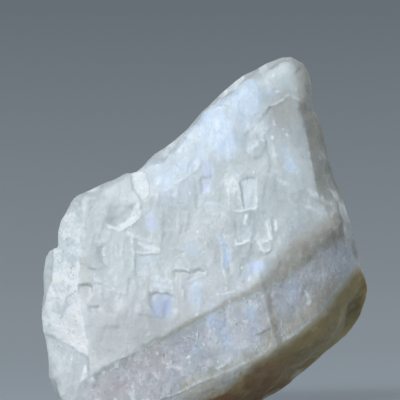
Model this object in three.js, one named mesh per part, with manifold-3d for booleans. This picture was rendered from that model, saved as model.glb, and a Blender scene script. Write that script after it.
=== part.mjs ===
// Rough moonstone: one cleaved, waxy lump of feldspar that stands on a small flat spot.
//
// Frame: millimetres, +Z up, +X to the right of the show face, the show face looks to -Y.
// The origin is the middle of the bounding box's footprint, on the surface the stone rests on.
//
// The stone is one solid. Its surface is where a field is zero: the larger of
//   - the show face: a cleavage plane, a ledge below it, a lower layer, a left strip, a right facet, a rounded underside,
//   - the back: one cleavage plane with five oblique breaks round it,
//   - the rim: the stone's outline, which draws in towards the front and the back.
// The points of a geodesic sphere are pushed out along their own rays until they meet that surface, and the foot is cut flat.

import * as THREE from 'three';
import { mergeVertices } from 'three/addons/utils/BufferGeometryUtils.js';
import Module from 'manifold-3d';

// ---- driving dimensions -------------------------------------------------------------------------------------------
const FINENESS = 15;                 // subdivisions of the geodesic sphere: 20 * (FINENESS + 1)^2 triangles
const HEART = [-1.0, 0.5, 33.0];     // x, depth, z of the point that all rays leave from
const STRETCH = [33, 16, 37];        // the sphere is stretched to about the stone's own proportions first
const FOOT_Z = 2.0;                  // height of the flat spot in the field's own coordinates
const ORIGIN = [-0.1, 0.045];        // x and depth of the footprint's middle in the field's own coordinates

const MAIN_DEPTH = 14.0, MAIN_DX = 0.12, MAIN_DZ = -0.20;      // show face: depth at x 0, z 35, and its slopes
const BAND_DEPTH = 14.33, BAND_DX = -0.087, BAND_DZ = 0.071;   // lower layer, set back below the ledge
const STRIP_SLOPE = 0.72;            // left strip turns back by this much per mm
const FACET_SLOPE = 1.55;            // right facet
const UNDER_SLOPE = 1.25, UNDER_BOW = 0.10;                    // underside: slope where it starts, and its bow
const SCAR = { x: -16.4, z: 42.2, rx: 3.4, rz: 4.0, depth: 1.3 };   // shallow shell-shaped scar

// outline of the stone seen from the front, clockwise from the top: [x, z]
const OUTLINE = [
  [17.2, 71.3], [19.6, 70.0], [20.4, 68.8], [20.8, 67.6], [21.12, 66.0], [21.3, 62.4], [21.46, 60.8], [22.4, 59.6],
  [23.0, 57.88], [23.6, 55.6], [24.6, 51.2], [25.6, 47.6], [26.8, 44.6], [27.6, 42.4], [28.2, 40.4], [28.8, 38.8],
  [29.4, 36.4], [30.2, 34.0], [30.8, 31.6], [31.4, 29.2], [32.0, 26.8], [32.2, 25.0], [32.0, 23.2], [31.6, 22.0],
  [31.2, 20.8], [30.8, 19.6], [30.0, 18.4], [29.2, 17.2], [28.2, 16.0], [26.8, 14.8], [25.2, 13.6], [23.6, 12.4],
  [22.4, 11.2], [21.0, 10.0], [19.6, 8.8], [18.0, 7.6], [16.8, 6.4], [15.2, 5.2], [12.6, 3.6], [10.4, 2.0], [8.6, 0.6],
  [6.0, -1.2], [0.0, -2.4], [-24.0, -2.4], [-27.2, -0.6], [-28.2, 1.2], [-28.8, 3.0], [-30.0, 5.2], [-31.0, 7.6],
  [-31.0, 10.0], [-31.2, 12.4], [-31.6, 14.8], [-32.2, 17.2], [-32.4, 19.6], [-32.4, 22.0], [-32.0, 24.4],
  [-32.2, 27.8], [-32.0, 30.4], [-31.8, 31.2], [-30.6, 33.4], [-29.5, 36.2], [-28.6, 38.8],
  [-27.8, 40.0], [-27.2, 41.2], [-26.6, 42.4], [-25.6, 43.6], [-22.8, 44.8], [-20.4, 46.0], [-17.4, 47.2],
  [-15.8, 48.1], [-14.6, 48.16], [-13.6, 48.4], [-12.2, 49.6], [-11.2, 50.8], [-10.0, 52.0], [-8.0, 53.2],
  [-6.4, 54.4], [-5.0, 55.6], [-3.6, 56.8], [-2.6, 58.0], [-1.6, 59.2], [-0.6, 60.4], [0.8, 61.6], [2.0, 62.8],
  [3.2, 64.0], [4.6, 65.2], [6.0, 66.4], [7.6, 67.6], [10.2, 68.8], [12.2, 70.0], [15.4, 71.2],
];

// lines on the show face: [x, z]
const STRIP_EDGE = [[-24.2, 50], [-24.2, 35.6], [-24.92, 31.4], [-24.8, 27.6], [-24.92, 25.1], [-24.4, 23.4], [-24.8, 21.4],
  [-24.4, 19.5], [-23.9, 17.4], [-23.46, 15.6], [-23.4, 12.8], [-25.0, 8.4], [-26.2, 3.8], [-27.0, -0.4], [-27.5, -6]];
const FACET_EDGE = [[15.5, 80], [17.0, 68.8], [18.0, 63.8], [19.0, 62.4], [19.2, 59.0], [19.8, 56.8], [20.4, 52.8],
  [21.8, 44.8], [24.6, 39.6], [27.8, 34.8], [30.4, 30.4], [34.0, 26.0]];
const LEDGE = [[36, 45], [28.4, 39.4], [25.0, 37.2], [19.2, 33.8], [17.0, 30.0], [14.14, 26.46], [11.08, 25.7],
  [9.56, 24.8], [6.9, 23.6], [4.48, 22.68], [1.54, 20.64], [-1.52, 19.24], [-4.08, 17.84], [-8.8, 15.2],
  [-16.6, 10.8], [-22.2, 10.4], [-40, 8]];
const UNDER_EDGE = [[38, 34], [33.4, 30.4], [29.0, 26.8], [24.8, 22.2], [19.76, 18.04], [15.92, 15.4], [13.0, 14.0],
  [9.56, 11.0], [8.0, 10.4], [0.0, 6.8], [-7.8, 3.2], [-15.0, -0.4], [-24, -5]];
const BAND_STEP = [[10.0, 29.5], [10.6, 26.8], [11.2, 25.2], [11.34, 23.66], [11.98, 22.12], [12.48, 20.22],
  [13.12, 17.28], [13.5, 15.74], [14.2, 12.0]];

// back: depth of its cleavage plane, and the oblique breaks [normal x, depth, z], [point x, depth, z]
const BACK_DEPTH = -14.6, BACK_DX = 0.05, BACK_DZ = 0.055;
const BREAKS = [
  [[-0.50, -0.74, 0.45], [-14.0, -12.5, 44.0]],
  [[0.62, -0.68, -0.39], [21.5, -13.0, 17.5]],
  [[0.30, -0.72, 0.62], [15.0, -12.0, 59.5]],
  [[-0.84, -0.53, -0.12], [-26.5, -10.5, 22.0]],
  [[0.05, -0.66, -0.75], [-8.0, -13.2, 4.0]],
];

// rim, by angle round the point (-1, 31): depth of the outermost line, inward draw to the front and to the back, rounding
const RIM = [
  [17.8, 4, 0.10, 0.22, 1.5], [32, 3, 0.10, 0.25, 1.2], [50.8, 2, 0.12, 0.30, 2.0], [65.9, 3, 0.16, 0.30, 3.0],
  [85.7, 4, 0.10, 0.40, 1.6], [107.5, 5, 0.10, 0.45, 1.2], [127.4, 6, 0.15, 0.45, 1.5], [156, 6, 0.20, 0.35, 1.5],
  [187.7, 6, 0.15, 0.18, 1.0], [214, 7, 0.15, 0.20, 1.0], [228.4, 7, 0.10, 0.25, 1.2], [252, 3, 0.05, 0.20, 1.5],
  [285, -5, 0.08, 0.18, 1.6], [306, -6, 0.10, 0.20, 1.8], [332.6, -5, 0.12, 0.22, 2.2], [349.4, -3, 0.12, 0.22, 2.0],
];

// ---- field ----------------------------------------------------------------------------------------------------------
const relu = (x, r) => 0.5 * (x + Math.sqrt(x * x + r * r));
const smax = (a, b, k) => { const h = Math.max(k - Math.abs(a - b), 0) / k; return Math.max(a, b) + h * h * k * 0.25; };
const smooth = (a, b, x) => { const t = Math.min(Math.max((x - a) / (b - a), 0), 1); return t * t * (3 - 2 * t); };

// signed distance to an open line; positive to the right of its direction
function side(line, x, z) {
  let best = Infinity, sign = 1;
  for (let i = 0; i + 1 < line.length; i++) {
    const [ax, az] = line[i], ex = line[i + 1][0] - ax, ez = line[i + 1][1] - az;
    const t = Math.min(Math.max(((x - ax) * ex + (z - az) * ez) / (ex * ex + ez * ez), 0), 1);
    const dx = x - ax - t * ex, dz = z - az - t * ez, d = dx * dx + dz * dz;
    if (d < best - 1e-9) { best = d; sign = ex * (z - az) - ez * (x - ax) < 0 ? 1 : -1; }
  }
  return sign * Math.sqrt(best);
}

// signed distance to the closed outline; negative inside
function outlineDistance(x, z) {
  let best = Infinity, inside = false;
  for (let i = 0, j = OUTLINE.length - 1; i < OUTLINE.length; j = i++) {
    const [ax, az] = OUTLINE[j], [bx, bz] = OUTLINE[i], ex = bx - ax, ez = bz - az;
    const t = Math.min(Math.max(((x - ax) * ex + (z - az) * ez) / (ex * ex + ez * ez), 0), 1);
    best = Math.min(best, (x - ax - t * ex) ** 2 + (z - az - t * ez) ** 2);
    if ((az > z) !== (bz > z) && x < (bx - ax) * (z - az) / (bz - az) + ax) inside = !inside;
  }
  return (inside ? -1 : 1) * Math.sqrt(best);
}

function rimAt(x, z) {
  let th = Math.atan2(z - 31, x + 1) * 180 / Math.PI;
  if (th < RIM[0][0]) th += 360;
  let i = RIM.length - 1;
  while (i > 0 && RIM[i][0] > th) i--;
  const a = RIM[i], b = RIM[(i + 1) % RIM.length], span = (b[0] - a[0] + 360) % 360;
  const t = smooth(0, 1, (th - a[0]) / span);
  return [1, 2, 3, 4].map((k) => a[k] + (b[k] - a[k]) * t);
}

// depth of the front surface
function front(x, z) {
  const main = MAIN_DEPTH + MAIN_DX * x + MAIN_DZ * (z - 35);
  let band = BAND_DEPTH + BAND_DX * x + BAND_DZ * z;
  band -= 0.9 * smooth(-0.4, 1.6, -side(BAND_STEP, x, z)) * smooth(32, 27, z);     // its right half lies lower
  const below = side(LEDGE, x, z) * -1;                                     // positive below the ledge
  const width = 1.6 + 2.6 * smooth(6, 22, x);                                 // the ledge's riser is wide at the right
  let h = main + (Math.min(band, main) - main) * smooth(-0.2, width, below);
  h -= STRIP_SLOPE * relu(side(STRIP_EDGE, x, z), 0.5);
  h -= FACET_SLOPE * relu(-side(FACET_EDGE, x, z), 1.2);
  const s = relu(-side(UNDER_EDGE, x, z), 1.6);
  h -= UNDER_SLOPE * s + UNDER_BOW * s * s;
  const sx = (x - SCAR.x) / SCAR.rx, sz = (z - SCAR.z) / SCAR.rz, q = 1 - sx * sx - sz * sz;
  if (q > 0) h -= SCAR.depth * Math.pow(q, 0.7);
  return h;
}

function field(x, w, z) {
  const [ws, toFront, toBack, round] = rimAt(x, z);
  const dw = w - ws;
  const draw = (dw > 0 ? toFront : toBack) * (Math.sqrt(dw * dw + 9) - 3);
  const rim = outlineDistance(x, z) + draw;
  const h = front(x, z), e = 0.25;
  const gx = (front(x + e, z) - front(x - e, z)) / (2 * e), gz = (front(x, z + e) - front(x, z - e)) / (2 * e);
  const face = (w - h) / Math.sqrt(1 + gx * gx + gz * gz);
  let back = (BACK_DEPTH + BACK_DX * x + BACK_DZ * (z - 35) - w) / Math.hypot(1, BACK_DX, BACK_DZ);
  for (const [n, p] of BREAKS) {
    const l = Math.hypot(...n);
    back = smax(back, ((x - p[0]) * n[0] + (w - p[1]) * n[1] + (z - p[2]) * n[2]) / l, 1.5);
  }
  return smax(smax(face, rim, round), back, 1.5);
}

// ---- the stone --------------------------------------------------------------------------------------------------------
const wasm = await Module();
wasm.setup();

function toManifold(geometry) {
  const g = geometry.clone();
  g.deleteAttribute('normal');
  g.deleteAttribute('uv');
  const m = mergeVertices(g, 1e-5);
  return new wasm.Manifold(new wasm.Mesh({
    numProp: 3,
    vertProperties: new Float32Array(m.attributes.position.array),
    triVerts: new Uint32Array(m.index.array),
  }));
}

const ball = new THREE.IcosahedronGeometry(1, FINENESS);
const pos = ball.attributes.position;
for (let i = 0; i < pos.count; i++) {
  const v = new THREE.Vector3(pos.getX(i), pos.getY(i), pos.getZ(i));
  // axes of the sphere: x, -depth, z
  const d = new THREE.Vector3(v.x * STRETCH[0], v.y * STRETCH[1], v.z * STRETCH[2]).normalize();
  let lo = 0, hi = 60;
  for (let k = 0; k < 34; k++) {
    const r = (lo + hi) / 2;
    if (field(HEART[0] + r * d.x, HEART[1] - r * d.y, HEART[2] + r * d.z) < 0) lo = r; else hi = r;
  }
  const x = HEART[0] + lo * d.x, w = HEART[1] - lo * d.y, z = HEART[2] + lo * d.z;
  pos.setXYZ(i, x - ORIGIN[0], -(w - ORIGIN[1]), z - FOOT_Z);
}

const keep = new THREE.BoxGeometry(120, 120, 120).translate(0, 0, 60);
const solid = toManifold(ball).intersect(toManifold(keep));
const out = solid.getMesh();
const stoneGeometry = new THREE.BufferGeometry();
stoneGeometry.setAttribute('position', new THREE.BufferAttribute(new Float32Array(out.vertProperties), 3));
stoneGeometry.setIndex(new THREE.BufferAttribute(new Uint32Array(out.triVerts), 1));
stoneGeometry.computeVertexNormals();

const moonstone = new THREE.Mesh(
  stoneGeometry,
  new THREE.MeshStandardMaterial({ color: 0xd2d9de, roughness: 0.45, metalness: 0 }),
);
moonstone.name = 'moonstone';

const group = new THREE.Group();
group.add(moonstone);
export default group;
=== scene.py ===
# Rough moonstone: the looks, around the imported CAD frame. Metres in Blender; the shape is worked out in millimetres.
import bpy, bmesh, math, time
import numpy as np
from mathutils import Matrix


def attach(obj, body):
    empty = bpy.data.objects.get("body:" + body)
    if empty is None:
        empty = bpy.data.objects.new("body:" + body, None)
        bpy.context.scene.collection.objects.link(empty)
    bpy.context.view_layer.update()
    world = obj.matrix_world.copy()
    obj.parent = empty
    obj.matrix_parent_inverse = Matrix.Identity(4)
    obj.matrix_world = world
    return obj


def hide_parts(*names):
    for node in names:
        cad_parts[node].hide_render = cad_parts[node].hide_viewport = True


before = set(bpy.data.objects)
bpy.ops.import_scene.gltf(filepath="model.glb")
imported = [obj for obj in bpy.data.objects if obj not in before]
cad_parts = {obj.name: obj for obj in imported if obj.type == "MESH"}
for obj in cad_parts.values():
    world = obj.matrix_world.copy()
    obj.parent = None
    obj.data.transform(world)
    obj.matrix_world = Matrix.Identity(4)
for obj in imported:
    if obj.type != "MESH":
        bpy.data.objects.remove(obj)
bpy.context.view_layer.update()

T0 = time.time()
STEP = 0.26          # grid of the surface, mm
FACES = 194000     # triangles kept after the flat places are thinned

# The stone's own drawing: x to the right, w towards the viewer of the show face, z up, in mm. A drawing point (u, v) has
# 0.2 mm units, u to the right and v down.
FOOT_Z = 2.0
SHIFT = (-0.1, 0.045)


def P(u, v):
    return ((u - 205.0) * 0.2, (414.0 - v) * 0.2)


def PL(*pts):
    return [P(u, v) for u, v in pts]


# ---------------------------------------------------------------------------------------------- small maths and noise
def sm(a, b, x):
    t = np.clip((x - a) / (b - a), 0.0, 1.0)
    return t * t * (3.0 - 2.0 * t)


def relu(x, r):
    return 0.5 * (x + np.sqrt(x * x + r * r))


def smax(a, b, k):
    h = np.maximum(k - np.abs(a - b), 0.0) / k
    return np.maximum(a, b) + h * h * k * 0.25


def hash2(ix, iy, seed):
    h = (ix.astype(np.int64) * 374761393 + iy.astype(np.int64) * 668265263 + seed * 974634777) & 0xFFFFFFFF
    h = ((h ^ (h >> 13)) * 1274126177) & 0xFFFFFFFF
    h = ((h ^ (h >> 16)) * 2246822519) & 0xFFFFFFFF
    return ((h ^ (h >> 15)) & 0xFFFFFF) / float(0x1000000)


def noise(x, y, seed):
    """Gradient noise, about -0.7 to 0.7."""
    ix, iy = np.floor(x), np.floor(y)
    fx, fy = x - ix, y - iy
    ux, uy = fx * fx * fx * (fx * (fx * 6 - 15) + 10), fy * fy * fy * (fy * (fy * 6 - 15) + 10)

    def g(dx, dy):
        a = hash2(ix + dx, iy + dy, seed) * 6.2831853
        return np.cos(a) * (fx - dx) + np.sin(a) * (fy - dy)
    a, b = g(0, 0), g(1, 0)
    c, d = g(0, 1), g(1, 1)
    return (a + (b - a) * ux) * (1 - uy) + (c + (d - c) * ux) * uy


def fbm(x, y, seed, octaves=4, gain=0.5):
    s, amp = 0.0, 1.0
    for i in range(octaves):
        s = s + amp * noise(x * 2.03 ** i + 11.7 * i, y * 2.03 ** i - 7.3 * i, seed + 31 * i)
        amp *= gain
    return s


def cells(x, y, seed):
    """Worley cells: distance to the border (about 0 to 0.5) and a random number per cell."""
    ix, iy = np.floor(x), np.floor(y)
    f1 = np.full(x.shape, 9.0)
    f2 = np.full(x.shape, 9.0)
    cid = np.zeros(x.shape)
    for dx in (-1, 0, 1):
        for dy in (-1, 0, 1):
            px = ix + dx + 0.1 + 0.8 * hash2(ix + dx, iy + dy, seed)
            py = iy + dy + 0.1 + 0.8 * hash2(ix + dx, iy + dy, seed + 7)
            d = np.maximum(np.abs(px - x), np.abs(py - y)) * 0.75 + 0.25 * np.hypot(px - x, py - y)
            r = hash2(ix + dx, iy + dy, seed + 13)
            nearer = d < f1
            f2 = np.where(nearer, f1, np.minimum(f2, d))
            cid = np.where(nearer, r, cid)
            f1 = np.where(nearer, d, f1)
    return f2 - f1, cid


def facets(x, y, seed, jump, tilt):
    """Cleaved cells, each a plane with its own level and tilt: border distance, number per cell and height."""
    ix, iy = np.floor(x), np.floor(y)
    f1 = np.full(x.shape, 9.0)
    f2 = np.full(x.shape, 9.0)
    cid = np.zeros(x.shape)
    hgt = np.zeros(x.shape)
    for dx in (-1, 0, 1):
        for dy in (-1, 0, 1):
            px = ix + dx + 0.1 + 0.8 * hash2(ix + dx, iy + dy, seed)
            py = iy + dy + 0.1 + 0.8 * hash2(ix + dx, iy + dy, seed + 7)
            d = np.maximum(np.abs(px - x), np.abs(py - y)) * 0.75 + 0.25 * np.hypot(px - x, py - y)
            r = hash2(ix + dx, iy + dy, seed + 13)
            tx = hash2(ix + dx, iy + dy, seed + 17) - 0.5
            ty = hash2(ix + dx, iy + dy, seed + 19) - 0.5
            nearer = d < f1
            f2 = np.where(nearer, f1, np.minimum(f2, d))
            cid = np.where(nearer, r, cid)
            hgt = np.where(nearer, jump * (r - 0.5) + 2 * tilt * (tx * (x - px) + ty * (y - py)), hgt)
            f1 = np.where(nearer, d, f1)
    return f2 - f1, cid, hgt


def chisel(x, y, seed):
    """Flat triangles that meet in creases, with no walls between them, about -0.5 to 0.5."""
    ix, iy = np.floor(x), np.floor(y)
    fx, fy = x - ix, y - iy
    r00, r10 = hash2(ix, iy, seed) - 0.5, hash2(ix + 1, iy, seed) - 0.5
    r01, r11 = hash2(ix, iy + 1, seed) - 0.5, hash2(ix + 1, iy + 1, seed) - 0.5
    one = np.where(fx + fy < 1, r00 + (r10 - r00) * fx + (r01 - r00) * fy, r11 + (r01 - r11) * (1 - fx) + (r10 - r11) * (1 - fy))
    two = np.where(fx > fy, r00 + (r10 - r00) * fx + (r11 - r10) * fy, r00 + (r01 - r00) * fy + (r11 - r01) * fx)
    return np.where((ix + iy) % 2 > 0.5, one, two)


def soften(a, times):
    for _ in range(times):
        for ax in (0, 1):
            b = a.copy()
            m = [slice(None)] * 2
            lo, mi, hi = m.copy(), m.copy(), m.copy()
            lo[ax], mi[ax], hi[ax] = slice(0, -2), slice(1, -1), slice(2, None)
            b[tuple(mi)] = 0.25 * a[tuple(lo)] + 0.5 * a[tuple(mi)] + 0.25 * a[tuple(hi)]
            a = b
    return a


def line(pts, x, z):
    """Signed distance to an open line (positive to the right of its run) and where along it, 0 to 1."""
    pts = np.array(pts)
    seg = np.hypot(*(pts[1:] - pts[:-1]).T)
    run = np.concatenate([[0], np.cumsum(seg)])
    best = np.full(x.shape, 1e9)
    sgn = np.ones(x.shape)
    along = np.zeros(x.shape)
    for i in range(len(pts) - 1):
        ax, az = pts[i]
        ex, ez = pts[i + 1] - pts[i]
        t = np.clip(((x - ax) * ex + (z - az) * ez) / (ex * ex + ez * ez), 0, 1)
        dx, dz = x - ax - t * ex, z - az - t * ez
        d = dx * dx + dz * dz
        m = d < best - 1e-9
        best = np.where(m, d, best)
        sgn = np.where(m, np.where(ex * (z - az) - ez * (x - ax) < 0, 1.0, -1.0), sgn)
        along = np.where(m, (run[i] + t * seg[i]) / run[-1], along)
    return sgn * np.sqrt(best), along


def ring(pts, x, z):
    """Signed distance to a closed outline, negative inside, and the arc length of the nearest point."""
    pts = np.array(pts)
    nxt = np.roll(pts, -1, axis=0)
    seg = np.hypot(*(nxt - pts).T)
    run = np.concatenate([[0], np.cumsum(seg)])
    best = np.full(x.shape, 1e9)
    arc = np.zeros(x.shape)
    inside = np.zeros(x.shape, bool)
    for i in range(len(pts)):
        ax, az = pts[i]
        bx, bz = nxt[i]
        ex, ez = bx - ax, bz - az
        t = np.clip(((x - ax) * ex + (z - az) * ez) / (ex * ex + ez * ez), 0, 1)
        d = (x - ax - t * ex) ** 2 + (z - az - t * ez) ** 2
        m = d < best
        best = np.where(m, d, best)
        arc = np.where(m, run[i] + t * seg[i], arc)
        if az != bz:
            inside ^= ((az > z) != (bz > z)) & (x < (bx - ax) * (z - az) / (bz - az) + ax)
    return np.where(inside, -1.0, 1.0) * np.sqrt(best), arc, run[-1]


# ------------------------------------------------------------------------------------------------------ the drawing
OUTLINE = [
    (17.2, 71.3), (19.6, 70.0), (20.4, 68.8), (20.8, 67.6), (21.12, 66.0), (21.3, 62.4), (21.46, 60.8), (22.4, 59.6),
    (23.0, 57.88), (23.6, 55.6), (24.6, 51.2), (25.6, 47.6), (26.8, 44.6), (27.6, 42.4), (28.2, 40.4), (28.8, 38.8),
    (29.4, 36.4), (30.2, 34.0), (30.8, 31.6), (31.4, 29.2), (32.0, 26.8), (32.2, 25.0), (32.0, 23.2), (31.6, 22.0),
    (31.2, 20.8), (30.8, 19.6), (30.0, 18.4), (29.2, 17.2), (28.2, 16.0), (26.8, 14.8), (25.2, 13.6), (23.6, 12.4),
    (22.4, 11.2), (21.0, 10.0), (19.6, 8.8), (18.0, 7.6), (16.8, 6.4), (15.2, 5.2), (12.6, 3.6), (10.4, 2.0), (8.6, 0.6),
    (6.0, -1.2), (0.0, -2.4), (-24.0, -2.4), (-27.2, -0.6), (-28.2, 1.2), (-28.8, 3.0), (-30.0, 5.2), (-31.0, 7.6),
    (-31.0, 10.0), (-31.2, 12.4), (-31.6, 14.8), (-32.2, 17.2), (-32.4, 19.6), (-32.4, 22.0), (-32.0, 24.4),
    (-32.2, 27.8), (-32.0, 30.4), (-31.8, 31.6), (-31.0, 32.8), (-29.2, 33.4), (-29.2, 36.4), (-28.6, 38.8),
    (-27.8, 40.0), (-27.2, 41.2), (-26.6, 42.4), (-25.6, 43.6), (-22.8, 44.8), (-20.4, 46.0), (-17.4, 47.2),
    (-15.8, 48.1), (-14.6, 48.16), (-13.6, 48.4), (-12.2, 49.6), (-11.2, 50.8), (-10.0, 52.0), (-8.0, 53.2),
    (-6.4, 54.4), (-5.0, 55.6), (-3.6, 56.8), (-2.6, 58.0), (-1.6, 59.2), (-0.6, 60.4), (0.8, 61.6), (2.0, 62.8),
    (3.2, 64.0), (4.6, 65.2), (6.0, 66.4), (7.6, 67.6), (10.2, 68.8), (12.2, 70.0), (15.4, 71.2),
]
# rim by angle round (-1, 31): depth of the outermost line, inward draw to the front and to the back, rounding
RIM = np.array([
    (17.8, 4, 0.10, 0.22, 1.0), (32, 3, 0.10, 0.25, 0.8), (50.8, 2, 0.12, 0.30, 1.4), (65.9, 3, 0.16, 0.30, 3.0),
    (85.7, 4, 0.10, 0.40, 1.2), (107.5, 5, 0.10, 0.45, 0.9), (127.4, 6, 0.15, 0.45, 1.0), (156, 6, 0.20, 0.35, 1.0),
    (187.7, 6, 0.15, 0.18, 0.7), (214, 7, 0.15, 0.20, 0.8), (228.4, 7, 0.10, 0.25, 0.8), (252, 3, 0.05, 0.20, 1.0),
    (285, -5, 0.08, 0.18, 1.6), (306, -6, 0.10, 0.20, 1.8), (332.6, -5, 0.12, 0.22, 2.2), (349.4, -3, 0.12, 0.22, 2.0),
])
STRIP_EDGE = PL((84, 164), (82, 236), (82, 250), (81.4, 271), (78.6, 283), (81.4, 298.6), (83, 311.4), (85.7, 323),
                (88.6, 341.4), (90, 353.6), (84, 372), (76, 395), (70, 416), (68, 440))
FACET_EDGE = PL((294, 40), (294, 78), (295, 91), (298, 111), (303, 126.5), (305, 142), (309, 162), (313.5, 188),
                (319, 205), (330, 219), (345, 238), (356, 262), (372, 285))
LEDGE = PL((385, 190), (352, 214), (338, 224), (326, 231.5), (309, 237), (295, 245), (285, 253), (277, 262), (269, 275),
           (259.7, 284), (246, 293.5), (232, 299), (214, 309.5), (200, 316.4), (183, 325.7), (161, 338), (140, 349), (120, 358.5),
           (106, 366), (94, 373), (80, 381), (60, 391), (30, 400))
UNDER_EDGE = PL((385, 238), (364, 258), (345, 281), (331, 297), (322, 311), (300, 329), (280.4, 341.7), (264, 353),
                (246, 362), (228, 370), (203, 380), (190, 386), (177, 391.7), (157, 398.5), (130, 411), (100, 430))
BEVEL = PL((300, 336), (280, 351), (262, 364.5), (245, 375), (235, 380.5), (228, 385), (213, 392.5), (200, 399.5), (185, 407), (160, 420))
BAND_STEP = PL((257, 276), (260.9, 288.9), (265.4, 302.7), (267.7, 315.3), (271.2, 326.8), (273.5, 334.8), (280, 352))
LIP = PL((326, 132), (316, 118), (308, 109), (300, 102.5), (289, 96.4), (283, 101), (276, 105), (269, 107.5), (262, 117),
         (254, 124.5), (249, 131), (240, 139))
CREASE = PL((254, 40), (256, 70), (256.5, 84), (258.5, 100), (262, 116), (263, 124))
SLOPE_EDGE = PL((96, 206), (135, 203), (150, 199), (166, 191), (181, 179.5), (195, 170), (205, 160), (216, 147), (229, 128),
                (240, 100), (262, 60))
BREAKS = [
    ((-0.50, -0.74, 0.45), (-14.0, -12.5, 44.0)),
    ((0.62, -0.68, -0.39), (21.5, -13.0, 17.5)),
    ((0.30, -0.72, 0.62), (15.0, -12.0, 59.5)),
    ((-0.84, -0.53, -0.12), (-26.5, -10.5, 22.0)),
    ((0.05, -0.66, -0.75), (-8.0, -13.2, 4.0)),
    ((-0.66, -0.70, 0.28), (-19.5, -13.6, 38.5)),
    ((0.76, -0.58, 0.30), (21.3, -11.8, 44.0)),
    ((-0.25, -0.88, 0.40), (1.0, -14.2, 60.0)),
    ((0.42, -0.90, -0.10), (12.0, -15.5, 30.0)),
    ((-0.30, -0.94, -0.16), (-12.0, -15.9, 27.0)),
    ((0.50, -0.60, -0.63), (13.0, -13.0, 6.0)),
]

# ------------------------------------------------------------------------------- the show face, as a map of depth over x, z
G = 0.1
gx = np.arange(-34.5, 34.6, G)
gz = np.arange(0.0, 73.1, G)
X, Z = np.meshgrid(gx, gz, indexing="ij")
# lines on a stone are never straight: everything below is drawn in slightly warped coordinates
WX = X + 0.30 * fbm(X / 2.6, Z / 2.6, 3, 3) + 0.10 * noise(X / 0.7, Z / 0.7, 5)
WZ = Z + 0.30 * fbm(X / 2.6 + 40, Z / 2.6, 4, 3) + 0.10 * noise(X / 0.7, Z / 0.7 + 9, 6)
# cleavage directions: columns lean 8 degrees, rows 5 degrees
CA, CB = math.radians(8.0), math.radians(5.0)
CU = WX * math.cos(CB) - WZ * math.sin(-CA)      # across the columns
CV = WZ * math.cos(CA) - WX * math.sin(CB)       # along the columns

base = 14.0 + 0.12 * X - 0.20 * (Z - 35.0)
base -= 0.0125 * relu(X - 9.0, 2.0) ** 2 * sm(30, 44, Z)
main = base.copy()
main += 0.24 * fbm(X / 13, Z / 13, 21, 2) + 0.05 * fbm(X / 4.2, Z / 4.2, 22, 3)

frost_and_highlight = np.zeros(X.shape)      # sugary, white, broken; also painted highlights on lit walls and edges, and painted glints
dark = np.zeros(X.shape)       # small shadows in cracks and under lips
sheen = np.zeros(X.shape)      # blue light from inside
violet = np.zeros(X.shape)
warm_shade_glow = np.zeros(X.shape)       # painted warm shade on risers and in hollows, painted see-through glow at rims; yellowish
rind_shade = np.zeros(X.shape)       # olive-brown skin and painted shade


def poly_mask(pts, soft):
    d, _, _ = ring(pts, WX, WZ)
    return sm(soft, -soft, d), d


def window(pts, pad):
    a = np.array(pts)
    i0 = int(np.clip((a[:, 0].min() - pad - gx[0]) / G, 0, len(gx) - 1))
    i1 = int(np.clip((a[:, 0].max() + pad - gx[0]) / G + 1, 1, len(gx)))
    j0 = int(np.clip((a[:, 1].min() - pad - gz[0]) / G, 0, len(gz) - 1))
    j1 = int(np.clip((a[:, 1].max() + pad - gz[0]) / G + 1, 1, len(gz)))
    return slice(i0, i1), slice(j0, j1)


def plate(h, pts, depth, soft=0.12, toward=None, reach=1.0):
    """Sinks (depth > 0) or raises a plate. With toward, it is deepest at that side and runs out to nothing at the other."""
    w = window(pts, 1.2)
    wx, wz = WX[w], WZ[w]
    d, _, _ = ring(pts, wx, wz)
    m = sm(soft, -soft, d)
    if toward is not None:
        a = np.array(pts)
        n = np.array(toward, float)
        n /= np.hypot(*n)
        q = a @ n
        t = (wx * n[0] + wz * n[1] - q.min()) / (q.max() - q.min())
        m = m * np.clip(t / reach, 0, 1)
    h[w] -= depth * m
    return w, m


def stroke(a, pts, width, amount, noise_amount=0.0, seed=50):
    w = window(pts, width * 3 + 0.5)
    d, t = line(pts, WX[w], WZ[w])
    m = amount * np.exp(-(d / width) ** 2) * sm(0, 0.06, t) * sm(1, 0.94, t)
    if noise_amount:
        m = m * (1 - noise_amount + noise_amount * np.clip(1 + 2.0 * noise(X[w] / 1.1, Z[w] / 1.1, seed) + 1.4 * noise(X[w] / 0.4, Z[w] / 0.4, seed + 1), 0, 2))
    a[w] += m


def blob(a, u, v, ru, rv, amount, tilt=0.0, crisp=0.5, seed=60):
    """A patch whose border follows the cleavage cells."""
    x0, z0 = P(u, v)
    ru, rv = ru * 0.2, rv * 0.2
    pts = [(x0 - 2.2 * max(ru, rv), z0 - 2.2 * max(ru, rv)), (x0 + 2.2 * max(ru, rv), z0 + 2.2 * max(ru, rv))]
    w = window(pts, 0.5)
    dx, dz = WX[w] - x0, WZ[w] - z0
    c, s = math.cos(tilt), math.sin(tilt)
    p, q = (dx * c + dz * s) / ru, (-dx * s + dz * c) / rv
    r = (np.abs(p) ** 2.6 + np.abs(q) ** 2.6) ** (1 / 2.6) + 0.25 * noise(CU[w] / 1.1, CV[w] / 1.9, seed)
    a[w] += amount * sm(1.0 + (1 - crisp) * 0.7, 1.0 - (1 - crisp) * 0.9 - 0.12, r)


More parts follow.
